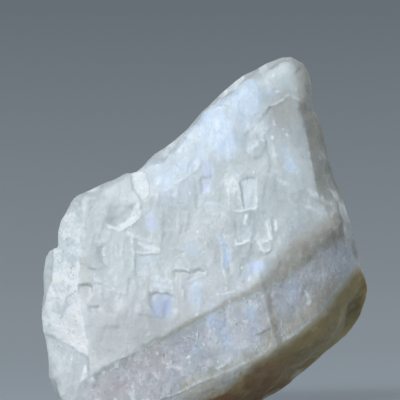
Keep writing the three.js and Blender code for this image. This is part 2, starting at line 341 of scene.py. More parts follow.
# the top: a crease, then a smooth zone that turns to the right, a bright lip and the lower layer under it
dcr, _ = line(CREASE, WX, WZ)
top = sm(48, 57, Z)
main -= 0.075 * relu(-dcr, 0.25) * top
dlip, tlip = line(LIP, WX, WZ)
below_lip = sm(-0.12, 0.22, -dlip)
lip_depth = np.interp(X, [7.0, 8.8, 11.4, 13.0, 15.6, 16.8, 18.2, 19.6, 22], [0.0, 0.16, 0.26, 0.40, 0.36, 0.24, 0.10, 0.02, 0.0])
main -= lip_depth * below_lip * np.exp(-np.maximum(-dlip, 0) / 6.0)
under_lip = sm(-0.1, 0.3, -dlip) * np.exp(-np.maximum(-dlip, 0) / 5.0) * sm(11.5, 14.0, X)
stroke(frost_and_highlight, PL((269, 107.8), (276, 104.5), (283, 100.3), (289.5, 96)), 0.28, 1.0, noise_amount=0.4)
stroke(frost_and_highlight, PL((249, 131.5), (254, 124.2), (262, 116.5)), 0.20, 0.5, noise_amount=0.4)
stroke(frost_and_highlight, PL((289.5, 96), (296, 99.5), (301, 102.4)), 0.20, 0.22, noise_amount=0.7)
# painted warm shade: right of the band step, under the lip and down the knob's right side
stroke(warm_shade_glow, PL((265, 290), (270.0, 303), (272.6, 315.5), (276.0, 327), (279, 338)), 1.5, 0.50)
stroke(warm_shade_glow, PL((272, 101), (281, 96), (289, 92)), 0.8, 0.35)
stroke(warm_shade_glow, PL((305, 74), (309.5, 90), (312, 104)), 0.8, 0.40)

# upper left: the face turns away along a fine white vein
dsl, tsl = line(SLOPE_EDGE, WX, WZ)
main -= 0.13 * relu(-dsl, 0.3) * sm(0.0, 0.06, tsl) * sm(0.95, 0.6, tsl)

# lower layer (band) below the ledge
lx = np.array(LEDGE)[::-1]
zl = np.interp(X, lx[:, 0], lx[:, 1])
zl = 0.25 * (np.roll(zl, 12, 0) + np.roll(zl, -12, 0) + 2 * zl)
at_ledge = 14.0 + 0.12 * X - 0.20 * (zl - 35.0) - 0.0125 * relu(X - 9.0, 2.0) ** 2 * sm(30, 44, zl)
fall = np.interp(X, [-24, -20, -9, 5, 10, 14, 17, 20, 27, 33], [0.0, 0.22, 0.28, 0.30, 0.30, 0.38, 0.72, 1.02, 1.08, 0.9])
band = at_ledge - fall + 0.10 * (Z - zl)
band += 0.20 * fbm(X / 9, Z / 9, 23, 2) + 0.11 * fbm(X / 3.1, Z / 3.1, 24, 3)
dst, tst = line(BAND_STEP, WX, WZ)
right_half = sm(-0.15, 1.25, -dst)
band -= right_half * 0.52 + 0.040 * np.maximum(-dst, 0)
wband, m = plate(band, PL((246, 337), (258, 331.5), (270, 326.5), (272, 336), (264, 350), (250, 358)), 0.20, 0.14, (0.3, 1), 0.9)
# the main layer bends down before the line, ever more, and the lower layer starts at it
dle, tle = line(LEDGE, WX, WZ)
below = -dle
pre = np.interp(X, [-22, -8, 5, 12, 18, 22, 25, 28, 31], [0.5, 1.0, 1.5, 2.6, 5.8, 6.2, 6.6, 5.9, 4.6])
post = np.interp(X, [-22, -8, 5, 10, 15, 19, 22, 25, 28, 33], [0.2, 0.25, 0.35, 0.9, 3.1, 5.0, 4.3, 2.9, 3.2, 3.0])
uu = np.linspace(0, 1, 201)
turn = sm(0, 0.36, uu) * (1 - 0.25 * sm(0.5, 0.9, uu)) * sm(1.06, 0.86, uu)
turn = np.cumsum(turn) / turn.sum()
drop = np.interp((below + pre) / (pre + post), uu, turn)
h = main + (np.minimum(band, main) - main) * drop
under_main = sm(0.55, 1.0, drop) * sm(-25, -21, X)
riser_zone = sm(0.06, 0.6, drop) * sm(1.0, 0.93, drop)
# painted warm shade on the ledge's riser
warm_shade_glow += riser_zone * np.interp(X, [-20, -8, 6, 11, 17], [0.15, 0.38, 0.45, 0.50, 0.85])
# the main layer's lower edge is a thin rounded see-through rim, with painted warm shade along it and painted shadow
# under it
stroke(warm_shade_glow, [(x, z + 0.45) for x, z in LEDGE[8:18]], 0.7, 0.25)
stroke(dark, [(x - 0.05, z - 0.05) for x, z in LEDGE[9:16]], 0.20, 0.22, noise_amount=0.6)
stroke(dark, [(x, z - 0.05) for x, z in LEDGE[15:20]], 0.2, 0.30, noise_amount=0.6)

# left: the bright strip, the slab behind it, the smooth facet below it
ds3, _ = line(STRIP_EDGE, WX, WZ)
h -= 0.70 * relu(ds3, 0.35)
strip = sm(-0.2, 0.3, ds3) * sm(11.5, 14.5, Z) * sm(42, 36, Z)
slab = PL((36, 246), (45, 248.5), (53, 248.5), (54.5, 262), (52.5, 282), (47.5, 295), (44, 306), (30, 306))
w, m = plate(h, slab, 1.0, 0.15)
strip[w] *= 1 - m
low_facet = PL((30, 326), (47, 333), (58, 337.5), (70, 342), (78, 348), (89, 354.5), (91, 366), (88, 420), (30, 430))
w, m = plate(h, low_facet, 0.42, 0.30, (0, 1), 0.7)
strip[w] *= 1 - m
low_zone = np.zeros(X.shape)
low_zone[w] += m

TRI2 = PL((70, 306), (81, 300), (84.5, 316), (88, 336), (90, 353), (82, 350), (72, 343.5), (60, 339), (56, 331), (64, 318))
w = window(TRI2, 1.0)
d, _, _ = ring(TRI2, WX[w], WZ[w])
frost_and_highlight[w] += 0.95 * sm(0.35, -0.35, d)
for pts, am in [(PL((66, 258), (67, 280), (70, 300)), 0.5), (PL((71, 262), (73, 285), (75, 304)), 0.45), (PL((76, 262), (78, 284), (80, 300)), 0.35),
                (PL((60, 254), (62, 268), (63, 290)), 0.4), (PL((52, 284), (51, 300), (54, 318), (60, 330)), 0.5), (PL((64, 316), (70, 330), (80, 344)), 0.4)]:
    stroke(frost_and_highlight, pts, 0.4, am, noise_amount=0.8, seed=57)

# right facet with painted shade, and the underside with its olive-brown skin and painted shade
df4, tf4 = line(FACET_EDGE, WX, WZ)
s4 = relu(-df4, 0.35 + 1.9 * sm(61, 66, Z))
h -= np.interp(Z, [0, 30, 36, 43, 46, 60, 66, 70], [0.3, 0.5, 0.55, 0.7, 1.10, 1.30, 0.42, 0.36]) * s4
facet_shade = sm(0.0, 0.5, -df4) * sm(38, 43, Z)
due, tue = line(UNDER_EDGE, WX + 0.2 * noise(X / 3.3, Z / 3.3, 8), WZ)
soft_under = np.interp(X, [-16, 4, 9, 14, 20, 28], [0.45, 0.45, 0.55, 0.9, 1.7, 2.2])
s5 = relu(-due, soft_under)
h -= np.interp(X, [-16, 0, 4, 9, 20, 28], [0.34, 0.36, 0.48, 0.82, 0.76, 0.90]) * s5 + np.interp(X, [-16, 4, 9, 20], [0.03, 0.04, 0.05, 0.10]) * s5 * s5
h -= 0.030 * relu(X - 20.0, 2.5) ** 2 * sm(35, 31, Z)
dbv, _ = line(BEVEL, WX, WZ)
left_low = sm(11.0, 5.0, X)
h -= 0.45 * left_low * relu(-dbv, 0.35)
under = sm(0.0, 1.0, (-due + 1.0) / np.interp(X, [-16, 2, 6, 14, 24, 32], [9.0, 8.0, 6.6, 6.0, 5.6, 5.2]))
under = under * (1 - left_low) + left_low * (0.20 * under + 0.8 * sm(0.0, 1.0, (-dbv + 0.35) / 3.2))
# painted warm shade and see-through glow along the underside's edge
stroke(warm_shade_glow, [(x - 0.3, z + 0.5) for x, z in UNDER_EDGE[2:13]], 1.7, 0.85)
stroke(warm_shade_glow, [(x - 1.1, z + 1.9) for x, z in UNDER_EDGE[2:8]], 3.4, 0.55, noise_amount=0.5, seed=77)


# ------------------------------------------------------------------------------------------------ named plates and scars
# scar: a shell-shaped hollow with a crisp broken white lip at its lower right; the lip's white is partly painted light
# on the wall that faces the lamp, and the hollow gets painted warm shade
SCAR = PL((104, 198), (111, 189), (123, 184), (134, 189), (139, 196), (140.5, 206), (139.5, 218), (129, 225.5), (119, 229.5),
          (108, 225.5), (102.5, 212))
w = window(SCAR, 1.5)
d, _, _ = ring(SCAR, WX[w], WZ[w])
sx0, sz0 = P(121, 206)
t = ((WX[w] - sx0) * 0.55 - (WZ[w] - sz0) * 0.83) / 4.3
soft = 0.40 + 3.3 * sm(0.85, -0.2, t)
bowl = np.zeros(X.shape)
bowl[w] = sm(0.0, 1.0, -d / soft) * (0.55 + 0.45 * sm(-0.7, 0.6, t))
h -= (0.42 + 0.010 * np.sin((X * 0.55 - Z * 0.83) * 4.0)) * bowl
LIPS = PL((135, 206), (139.8, 203), (140.4, 218), (133, 223), (127, 227.8), (120, 231), (110, 228), (106.5, 224), (118, 225.6),
          (126, 221.5), (132.5, 216.5))
m, _ = poly_mask(LIPS, 0.22)
frost_and_highlight += 0.78 * m
h += 0.16 * m * (0.3 + noise(X / 0.6, Z / 0.6, 72))
warm_shade_glow += 0.22 * bowl * (1 - m)
# sugary triangle on the shoulder
tri = PL((133, 172), (146, 173), (149, 184), (150, 193), (144, 200.5), (139, 194), (134, 189))
w, m = plate(h, tri, 0.35, 0.2)
frost_and_highlight[w] += 1.0 * m
h[w] += m * 0.22 * noise(X[w] / 0.55, Z[w] / 0.55, 71)
# recessed rectangular plates
R1 = PL((239.3, 181), (247.7, 177.3), (254, 179), (256.5, 208.3), (243.5, 209.5))
R2 = PL((227, 186), (239, 188.5), (241.5, 209), (232, 210.7), (229, 206))
R3 = PL((235, 212), (249.6, 211), (251, 231), (248.6, 240.2), (241, 243.3), (236, 243.2))
R4 = PL((251.6, 212), (264, 213), (269, 225), (269.4, 238.5), (262, 240.5), (252, 239))
R5 = PL((257, 240.5), (270, 239), (271, 249), (264, 253.3), (258.5, 250))
plate(h, R1, 0.26, 0.10, (-0.8, 0.3), 0.8)
plate(h, R2, 0.13, 0.10, (1, 0), 0.7)
plate(h, R3, 0.11, 0.10, (-0.3, -1), 0.8)
plate(h, R4, 0.20, 0.10, (1, -1), 0.8)
plate(h, R5, -0.10, 0.12)
plate(h, PL((252, 241), (258, 241), (259, 250), (264, 253.5), (271, 250), (276, 262), (268, 275), (252, 272), (247, 256)), 0.18, 0.15, (0, 1), 0.8)
plate(h, PL((249, 145), (258, 142), (264, 147), (262, 155), (254, 159), (249, 154)), -0.20, 0.40)
plate(h, PL((271, 218), (275, 219), (276.5, 226), (273.5, 232), (270.5, 226)), 0.15, 0.12)
for pts, wd, am in [
    (PL((239.0, 181), (241.0, 194), (243.3, 208.5)), 0.13, 0.75),
    (PL((249.2, 212.5), (250.2, 222), (251.4, 231.5)), 0.13, 0.6),
    (PL((258.5, 254.2), (262, 255), (268, 252)), 0.2, 0.6),
    (PL((256, 84), (257.5, 95)), 0.10, 0.35),
    (PL((267, 79.5), (271, 82.5), (277, 83)), 0.12, 0.45),
    (PL((140, 254.2), (158, 254.4)), 0.13, 0.55),
    (PL((174, 269.7), (182, 270.6), (191, 272.6)), 0.15, 0.6),
    (PL((151, 291.6), (160, 291.8), (168, 291.6), (173.5, 295)), 0.15, 0.7),
    (PL((183, 281), (190, 277), (197, 272.5)), 0.10, 0.35),
    (PL((84, 284.6), (88, 283.8), (93, 285)), 0.13, 0.4),
    (PL((101.8, 248), (102.5, 256)), 0.15, 0.35),
    (PL((263.2, 291), (267.4, 303), (269.8, 315.5), (273.0, 327), (275.4, 335)), 0.70, 0.20),
    (PL((321, 132), (326, 147), (330.5, 161), (335, 178)), 0.30, 1.3), (PL((318, 108), (321, 122), (325, 138)), 0.5, 0.5),
    (PL((345, 206), (347, 214), (350, 226), (353, 240)), 0.22, 0.35),
    (PL((131.5, 375), (132, 386), (133.5, 395)), 0.12, 0.25), (PL((150, 401), (157, 398.5), (177, 391.7), (190, 386), (203, 380), (215, 375.5)), 0.13, 1.2), (PL((196, 401.5), (213, 392.5), (228, 385), (240, 378)), 0.16, 0.9), (PL((158, 353), (162, 352), (165, 354)), 0.16, 0.8), (PL((171, 343), (178, 341), (186, 340)), 0.14, 0.6), (PL((133, 372), (137, 380), (142, 384)), 0.10, 0.5), (PL((158, 376), (160, 381), (159, 386)), 0.12, 0.5),
    (PL((247.5, 337), (258, 332.3), (270, 327.3)), 0.14, 0.3),
    (PL((124, 372), (131, 366), (134, 352)), 0.2, 0.2),
]:
    stroke(dark, pts, wd * 1.35, am * 0.55, noise_amount=0.5)
    stroke(h, pts, max(wd, 0.14) * 1.3, -0.08 * am, noise_amount=0.4)
# white lines along cleavage edges, each with a small ridge raised under it: partly broken white, partly painted
# highlights where edges catch the light
for pts, wd, am in [
    (PL((255.6, 196), (256.4, 208)), 0.14, 0.6),
    (PL((232, 210.6), (243, 210.2), (256.5, 208.6)), 0.14, 0.75),
    (PL((227.8, 188), (229.6, 205)), 0.16, 0.6), (PL((239.6, 189), (241.3, 203)), 0.12, 0.6),
    (PL((246.6, 215), (245.6, 221), (244.6, 226)), 0.20, 0.7),
    (PL((265.6, 221), (267.4, 230), (268.9, 237)), 0.17, 0.7),
    (PL((235.6, 236), (235.8, 243.3), (240.7, 243.3), (248.4, 240.4), (257.3, 243), (258, 240.2), (268, 239.5)), 0.15, 0.7),
    (PL((258.2, 243), (258.8, 249.5), (264, 252.6), (270, 248.5)), 0.16, 0.65),
    (PL((273.8, 219.5), (275.2, 226), (273.6, 231)), 0.16, 0.7),
    (PL((139.6, 243), (150, 245.5), (153, 247)), 0.25, 0.45),
    (PL((127, 232.5), (134, 234), (141, 236.5)), 0.3, 0.35), (PL((139, 238), (148, 239), (158, 242)), 0.3, 0.30),
    (PL((144, 247), (152, 248.6), (161, 249.5)), 0.35, 0.40), (PL((152, 276), (160, 277), (168, 281)), 0.35, 0.30),
    (PL((153, 283), (160, 284), (168, 286)), 0.3, 0.25), (PL((108.5, 242), (109, 252), (109.6, 262)), 0.13, 0.35),
    (PL((113, 240), (113.4, 250), (114, 262)), 0.12, 0.30), (PL((117.6, 243), (118, 251), (118.4, 258)), 0.12, 0.35),
    (PL((122.4, 240), (123, 252), (123.6, 264)), 0.13, 0.32), (PL((127.2, 241), (127.6, 250), (128, 259)), 0.12, 0.28),
    (PL((98, 280), (108, 284), (118, 289), (128, 292)), 0.18, 0.25), (PL((96, 228), (104, 231), (113, 234)), 0.2, 0.2),
    (PL((224, 178), (232, 182), (240, 177)), 0.8, 0.35), (PL((226, 190), (233, 186), (238, 190)), 0.7, 0.30),
    (PL((246, 127), (254, 129), (262, 126), (268, 130)), 0.6, 0.25), (PL((262, 132), (270, 144), (276, 158)), 0.5, 0.18),
    (PL((205, 205), (212, 203), (222, 204)), 0.3, 0.2), (PL((206, 213), (214, 215), (224, 213)), 0.25, 0.2),
    (PL((262, 172), (268, 176), (277, 172)), 0.3, 0.3), (PL((276, 178), (281, 183), (288, 184)), 0.3, 0.25),
    (PL((305, 190), (313, 194), (322, 199)), 0.4, 0.35), (PL((318, 196), (325, 203), (332, 206)), 0.3, 0.3),
    (PL((300, 205), (308, 207), (318, 212)), 0.35, 0.22), (PL((285, 196), (291, 204), (296, 216)), 0.25, 0.2),
    (PL((137, 252.0), (148, 252.8), (160, 252.6)), 0.16, 0.55),
    (PL((175, 267.4), (183, 268.6), (190, 270.2)), 0.12, 0.35),
    (PL((151, 289.4), (160, 289.8), (168, 289.6), (174, 292.8)), 0.16, 0.6),
    (PL((171, 278), (172.5, 285), (173.5, 291)), 0.16, 0.45),
    (PL((104.8, 247.5), (105.6, 256)), 0.14, 0.6),
    (PL((133.4, 236), (134.4, 252), (134.2, 271)), 0.20, 0.5),
    (PL((75, 282.2), (81, 282.4), (84, 282.9)), 0.14, 0.55),
    (PL((222, 262), (225, 278), (226, 290)), 0.16, 0.35),
    (PL((220, 236), (221.5, 246), (223, 262)), 0.14, 0.35),
    (PL((216, 292), (224, 293), (236, 289.5)), 0.16, 0.45),
    (PL((303, 289), (307, 294), (308.5, 300), (305.5, 303)), 0.22, 0.7),
    (PL((275, 93), (279, 92)), 0.3, 0.35),
    (PL((273.8, 120), (274.6, 126)), 0.16, 0.7), (PL((271, 136), (271.6, 140)), 0.18, 0.7), (PL((274, 152), (276, 158)), 0.18, 0.45),
    (PL((250, 150), (253, 146), (258, 144)), 0.3, 0.4),
    (PL((166, 191.5), (181, 180), (195, 170.5), (204, 161)), 0.22, 0.40),
    (PL((226, 316), (228.5, 304), (229.5, 298)), 0.2, 0.35),
    (PL((259.9, 290), (264.2, 303), (266.6, 315.5), (269.9, 327), (272.0, 335)), 0.12, 0.25),
    (PL((134, 378), (135, 390), (135, 399)), 0.22, 0.45),
    (PL((304, 128), (306, 142), (310, 162), (314, 187)), 0.16, 0.40),
    (PL((118, 357), (140, 348.4), (161, 337)), 0.14, 0.35),
    (PL((282, 340), (292, 334), (304, 326)), 0.35, 0.25), (PL((150, 399.6), (158, 397.0), (177, 390.4), (190, 384.8), (203, 378.6)), 0.13, 0.55), (PL((166, 366), (171, 363), (177, 365), (183, 366)), 0.20, 0.8), (PL((168, 362), (172, 359)), 0.20, 0.8), (PL((186, 356), (190, 354.5), (190, 357)), 0.16, 0.9), (PL((189, 359), (191, 361)), 0.14, 0.6), (PL((154, 370), (159, 376)), 0.2, 0.6), (PL((92, 378), (96, 375)), 0.25, 0.8), (PL((104, 371), (107, 368)), 0.25, 0.7), (PL((131, 388), (133, 395), (136, 398)), 0.25, 0.6), (PL((143, 398), (150, 396)), 0.25, 0.5), (PL((97, 399), (103, 398)), 0.4, 0.8), (PL((112, 399), (118, 396)), 0.35, 0.7), (PL((215, 366), (222, 363), (230, 359)), 0.2, 0.5),
    (PL((228, 376), (246, 366), (264, 356), (280, 345)), 0.4, 0.22),
]:
    if 105 < pts[0][0] * 5 + 205 < 130 and abs(pts[0][0] - pts[-1][0]) < 0.6:
        am *= 0.6
    stroke(frost_and_highlight, pts, wd * 1.25, am * 1.15, noise_amount=0.75, seed=int(pts[0][0] * 7 + 200))
    stroke(h, pts, max(wd, 0.14) * 1.4, 0.09 * am, noise_amount=0.6, seed=int(pts[0][0] * 7 + 200))
# sunk panels with a crisp upper edge
A1 = PL((136, 253), (160, 253), (164, 264), (170, 278), (172, 290), (150, 290), (140, 286), (135, 270))
B1 = PL((173, 269), (191, 271.5), (199, 268), (205, 271), (196, 276), (186, 281.5), (175, 281))
C1 = PL((151, 290.3), (168, 290.4), (174, 293.6), (177, 306), (174, 315), (160, 320), (152, 306))
plate(h, A1, 0.13, 0.12, (0, 1), 0.9)
plate(h, B1, 0.16, 0.12, (0, 1), 0.8)
plate(h, C1, 0.24, 0.40, (0.1, 1), 1.0)
plate(h, PL((80, 283), (93, 283.6), (94.5, 292), (90, 299.5), (83.5, 300), (80, 292)), 0.20, 0.16, (0.2, 1), 0.7)
plate(h, PL((91, 305), (100.5, 304), (101.5, 310.5), (92, 312)), 0.20, 0.14, (0, 1), 0.8)
plate(h, PL((99, 247), (105, 246.5), (106, 262), (99.5, 262)), 0.22, 0.12, (1, 0.2), 0.8)
plate(h, PL((134, 352), (138, 345), (160, 335), (160, 338), (139, 350), (134, 365)), 0.12, 0.12)
plate(h, PL((221, 243), (227, 246), (231, 262), (230, 273), (224, 268)), 0.16, 0.16, (1, 0.2), 0.8)
plate(h, PL((200, 178), (212, 176), (213, 190), (202, 193)), 0.14, 0.12, (-1, 0.3), 0.8)

# painted light: a plate is whitened towards one side, the wall that faces the lamp
def glow(pts, toward, amount, power=2.0, soft=0.14, target=None):
    a_ = frost_and_highlight if target is None else target
    w = window(pts, 0.8)
    d, _, _ = ring(pts, WX[w], WZ[w])
    n = np.array(toward, float) / math.hypot(*toward)
    q = np.array(pts) @ n
    t = np.clip((WX[w] * n[0] + WZ[w] * n[1] - q.min()) / (q.max() - q.min()), 0, 1)
    a_[w] += amount * sm(soft, -soft, d) * t ** power


glow(R1, (1, 0.2), 0.30, 1.0)
glow(R3, (0.2, -1), 0.45, 3.0)
glow(R4, (0.5, -1), 0.50, 3.0)
glow(R5, (0.3, -1), 0.45, 1.5)
glow(R2, (-1, 0.4), 0.35, 1.5)
glow(PL((128, 231), (143, 236.5), (140, 238), (129, 235)), (-1, -0.3), 0.45, 1.0)
glow(PL((136, 240), (150, 243.5), (161, 247.5), (160, 250.5), (144, 248.5)), (1, -0.3), 0.50, 0.8)
glow(PL((134, 250.3), (160, 250.8), (160, 253.3), (136, 253.4)), (0, -1), 0.5, 0.5)
glow(PL((152, 274), (168, 277), (171, 288), (152, 288)), (0.4, 0.6), 0.30, 1.0)
glow(PL((144, 214), (151, 212), (155, 222), (157, 233), (148, 230)), (0.3, -1), 0.30, 1.0)
glow(PL((202, 187), (212, 186), (214, 195), (206, 197)), (0.5, -1), 0.30, 1.0)
glow(PL((262, 158), (274, 156), (281, 176), (270, 182)), (1, 0.5), 0.20, 1.5)
glow(PL((283, 177), (300, 175), (303, 190), (288, 193)), (0.3, -1), 0.18, 1.5)
glow(PL((226, 150), (246, 148), (248, 166), (232, 172)), (1, 0), 0.18, 1.5)
glow(PL((272, 282), (300, 276), (302, 300), (292, 322), (276, 326)), (-0.4, 0.6), 0.12, 1.0)
# many small cleavage plates, between the named ones
rng = np.random.default_rng(7)


def scatter(h, count, box, size, depth, keep, seed, ang=(-8, -2)):
    rng = np.random.default_rng(seed)
    n = 0
    while n < count:
        x, z = rng.uniform(box[0], box[1]), rng.uniform(box[2], box[3])
        a, b = rng.uniform(*size[0]), rng.uniform(*size[1])
        th = math.radians(rng.uniform(*ang))
        tw = rng.uniform(0, 6.283)
        dp = rng.uniform(*depth) * rng.choice([-1, 1, 1])
        skew = rng.uniform(-0.25, 0.25)
        cut = rng.uniform(0, 0.5)
        n += 1
        i, j = int((x - gx[0]) / G), int((z - gz[0]) / G)
        if not (0 <= i < len(gx) and 0 <= j < len(gz)) or keep[i, j] < 0.5:
            continue
        pts = []
        for sx, sz in ((-1, -1), (1, -1), (1, 1 - cut), (0.3, 1), (-1, 1)):
            px, pz = sx * a / 2 + skew * sz * b / 2, sz * b / 2
            pts.append((x + px * math.cos(th) - pz * math.sin(th), z + px * math.sin(th) + pz * math.cos(th)))
        plate(h, pts, dp, 0.10, (math.cos(tw), math.sin(tw)), 0.9)


calm = np.ones(X.shape)
calm[under > 0.15] = 0
calm[(dcr < 0) & (dlip > 0) & (Z > 60)] = 0
calm[(facet_shade > 0.3)] = 0
calm[bowl > 0.1] = 0
scatter(h, 260, (-31, 30, 2, 66), ((0.6, 2.2), (0.8, 4.2)), (0.015, 0.045), calm, 101)
scatter(h, 420, (-23, 31, 2, 36), ((0.5, 1.9), (0.6, 2.6)), (0.04, 0.11), calm * (under_main > 0.9), 103)
scatter(h, 70, (-26, 26, 4, 60), ((2.6, 6.0), (3.0, 9.0)), (0.02, 0.07), calm, 102)

scatter(h, 90, (-24, 32, 2, 32), ((0.9, 3.4), (0.6, 2.0)), (0.03, 0.12), (under > 0.12).astype(float), 105, ang=(26, 44))
stroke(frost_and_highlight, [(x - 0.2, z + 0.5) for x, z in UNDER_EDGE[2:12]], 0.35, 0.30, noise_amount=0.95, seed=61)
# the strip and other sugary places are rough at the grain scale, with painted glints on some grains
grain_e, grain_c = cells(WX / 0.85 + 30, WZ / 1.15, 81)
grain2_e, grain2_c = cells(WX / 0.42 + 9, WZ / 0.5 + 4, 82)
rough_map = np.clip(strip * sm(-0.1, 0.35, fbm(X / 2.4, Z / 3.2, 83, 3) + 0.12) + np.clip(frost_and_highlight, 0, 1) * 0.5, 0, 1)
shoulder = sm(1.0, 0.4, np.hypot((X + 26.5) / 3.6, (Z - 39.0) / 4.6))
rough_map = np.clip(rough_map + shoulder * sm(-0.1, 0.3, fbm(X / 1.6, Z / 1.6, 84, 3)), 0, 1)
SUGAR = PL((300, 188), (312, 188), (322, 196), (334, 200), (345, 212), (338, 222), (322, 216), (306, 208))
d, _, _ = ring(SUGAR, WX, WZ)
rough_map = np.clip(rough_map + 0.55 * sm(0.8, -0.8, d) * sm(-0.25, 0.3, fbm(X / 1.9, Z / 1.9, 85, 3)), 0, 1)
h += rough_map * (0.20 * (grain_c - 0.5) + 0.11 * (grain2_c - 0.5))
sparkle = rough_map * ((grain2_c > 0.72) | (grain_c > 0.8)).astype(float)
frost_and_highlight += 0.36 * strip + 0.42 * rough_map + 0.25 * shoulder + 0.55 * sparkle

# ------------------------------------------------------------------------------------------------------- light from inside
for u, v, ru, rv, am, vi, tl in [
    (235, 112, 34, 38, 0.32, 0.15, 0.55), (205, 140, 26, 20, 0.24, 0.15, 0.6), (180, 165, 30, 14, 0.18, 0.15, 0.62),
    (200, 190, 40, 14, 0.14, 0.2, 0.3), (172, 215, 26, 14, 0.12, 0.2, 0.2),
    (244, 98, 12, 16, 0.55, 0.15, 0.0), (250, 88, 8, 8, 0.35, 0.2, 0.0), (222, 136, 11, 16, 0.75, 0.2, 0.1),
    (228, 150, 7, 9, 0.5, 0.1, 0.0), (205, 120, 12, 14, 0.30, 0.0, 0.6), (215, 118, 9, 10, 0.25, 0.1, 0.3),
    (169, 176, 12, 8, 0.40, 0.0, 0.7), (186, 165, 9, 8, 0.28, 0.1, 0.7), (207, 170, 6, 8, 0.75, 0.8, 0.1),
    (207, 188, 6, 6, 0.85, 0.9, 0.0), (150, 215, 5, 5, 0.7, 0.8, 0.0), (152, 224, 6, 6, 0.75, 0.7, 0.0),
    (175, 196, 16, 9, 0.25, 0.0, 0.1), (226, 257, 5, 13, 0.62, 0.35, -0.15), (221, 241, 4, 7, 0.55, 0.4, 0.0),
    (256, 266, 10, 7, 0.75, 0.7, 0.0), (246, 276, 8, 5, 0.4, 0.4, 0.0), (163, 304, 11, 12, 0.80, 0.55, 0.0), (162, 305, 14, 16, 0.2, 0.5, 0.0),
    (195, 296, 8, 14, 0.45, 0.2, 0.0), (197, 282, 6, 9, 0.4, 0.1, 0.0), (160, 282, 11, 5, 0.4, 0.2, 0.0),
    (148, 262, 9, 10, 0.3, 0.5, 0.0), (154, 250, 8, 4, 0.35, 0.2, 0.0), (289, 165, 8, 12, 0.50, 0.45, 0.1),
    (283, 150, 6, 7, 0.35, 0.2, 0.0), (270, 92, 6, 6, 0.35, 0.8, 0.0), (193, 249, 8, 7, 0.35, 0.3, 0.0),
    (212, 318, 6, 18, 0.55, 0.3, 0.05), (224, 330, 6, 16, 0.55, 0.3, 0.05), (198, 345, 10, 14, 0.35, 0.3, 0.0),
    (251, 311, 5, 10, 0.6, 0.2, 0.0), (254, 328, 7, 7, 0.35, 0.4, 0.0), (286, 302, 14, 17, 0.36, 0.8, 0.0),
    (296, 286, 8, 6, 0.35, 0.5, 0.0), (338, 260, 15, 14, 0.25, 0.8, 0.0), (348, 247, 5, 8, 0.35, 0.6, 0.0),
    (326, 274, 9, 8, 0.35, 0.5, 0.0), (230, 345, 8, 12, 0.3, 0.4, 0.0), (180, 345, 8, 10, 0.25, 0.5, 0.0),
    (212, 205, 9, 5, 0.3, 0.4, 0.0), (247, 195, 6, 13, 0.35, 0.0, 0.0), (252, 225, 14, 12, 0.22, 0.0, 0.0),
    (120, 290, 12, 18, 0.10, 0.3, 0.0), (262, 350, 6, 4, 0.3, 0.3, 0.4), (168, 370, 14, 10, 0.15, 0.4, 0.0),
]:
    cr = 0.5 if v < 145 and am > 0.5 else 0.22
    blob(sheen, u, v, ru, rv, am, tilt=tl, crisp=cr, seed=int(u + v))
    blob(violet, u, v, ru, rv, am * vi, tilt=tl, crisp=cr, seed=int(u + v))
TOPBLUE = PL((262, 62), (259, 84), (262, 104), (262, 118), (248, 130), (240, 150), (225, 168), (206, 178), (188, 186), (160, 196), (140, 198), (140, 160),
             (180, 140), (210, 90), (240, 60))
d, _, _ = ring(TOPBLUE, WX, WZ)
broad = sm(1.6, -1.6, d)
sheen = np.maximum(sheen, 0) + 0.30 * broad * (1 - 0.6 * np.clip(sheen, 0, 1))
frost_and_highlight += 0.10 * broad
for pts, am, fr_ in [
    (PL((239, 82), (245, 79), (252, 80), (256.5, 88), (257.6, 100), (256.5, 110), (250, 115.5), (244, 113), (240, 104), (238, 92)), 0.42, 0.16),
    (PL((212, 120), (219, 119), (221, 126), (219, 131), (212.5, 129)), 0.40, 0.30),
    (PL((219, 130), (228, 129), (233, 136), (235, 150), (231, 158), (223, 152), (219, 141)), 0.38, 0.10),
    (PL((200, 128), (210, 124), (213, 134), (208, 146), (200, 143)), 0.18, 0.06),
    (PL((229, 98), (237, 96), (239, 110), (233, 119), (227, 112)), 0.22, 0.05),
    (PL((157, 178), (166, 173), (176, 176), (170, 184), (160, 186)), 0.22, 0.06),
    (PL((283, 156), (291, 158), (297, 170), (297, 177), (289, 172), (284, 164)), 0.24, 0.06),
    (PL((154, 296), (168, 295), (173, 301), (171, 311), (160, 316), (154, 307)), 0.25, 0.0),
    (PL((222, 244), (227, 247), (230, 260), (228, 268), (223, 258)), 0.30, 0.10),
    (PL((249, 261), (262, 259), (264, 268), (254, 272)), 0.25, 0.0),
]:
    w = window(pts, 0.8)
    d, _, _ = ring(pts, WX[w], WZ[w])
    m = sm(0.16, -0.16, d)
    sheen[w] += am * m
    frost_and_highlight[w] += fr_ * m
ce, cc = cells(CU / 1.5, CV / 3.2, 91)
ce2, cc2 = cells(CU / 0.7 + 5, CV / 1.3, 92)
sheen += 0.10 * (cc > 0.72) + 0.05 * (cc2 > 0.7)
sheen *= 0.72 + 0.28 * sm(0.0, 0.9, cc * 0.6 + cc2 * 0.4 + 0.25)
frost_and_highlight += 0.10 * (cc < 0.16) + 0.08 * (cc2 < 0.14)
rind_shade_front = under
neutral = np.clip(0.95 * under_main * sm(2, -14, X) + 0.5 * (1 - under_main) * sm(32, 18, Z), 0, 1)
tone = np.ones(X.shape)
# painted shade under the lip: darker here, and warmer a few lines below
tone -= 0.10 * under_lip
tone += 0.05 * under_main
tone += 0.20 * low_zone
lilac = 0.8 * under_main * sm(0.0, 2.6, below - 0.6 * post) * (0.35 + 0.65 * sm(1.5, 6.0, due)) * (0.75 + 0.9 * fbm(X / 4.5, Z / 4.5, 131, 2)) + 0.25 * sm(44, 34, Z) * sm(-16, -6, X)
warm_shade_glow += 0.35 * under_lip
busy = 0.55 + 0.85 * under_main + 0.95 * strip - 0.25 * facet_shade + 0.15 * low_zone - 0.25 * bowl - 0.25 * under


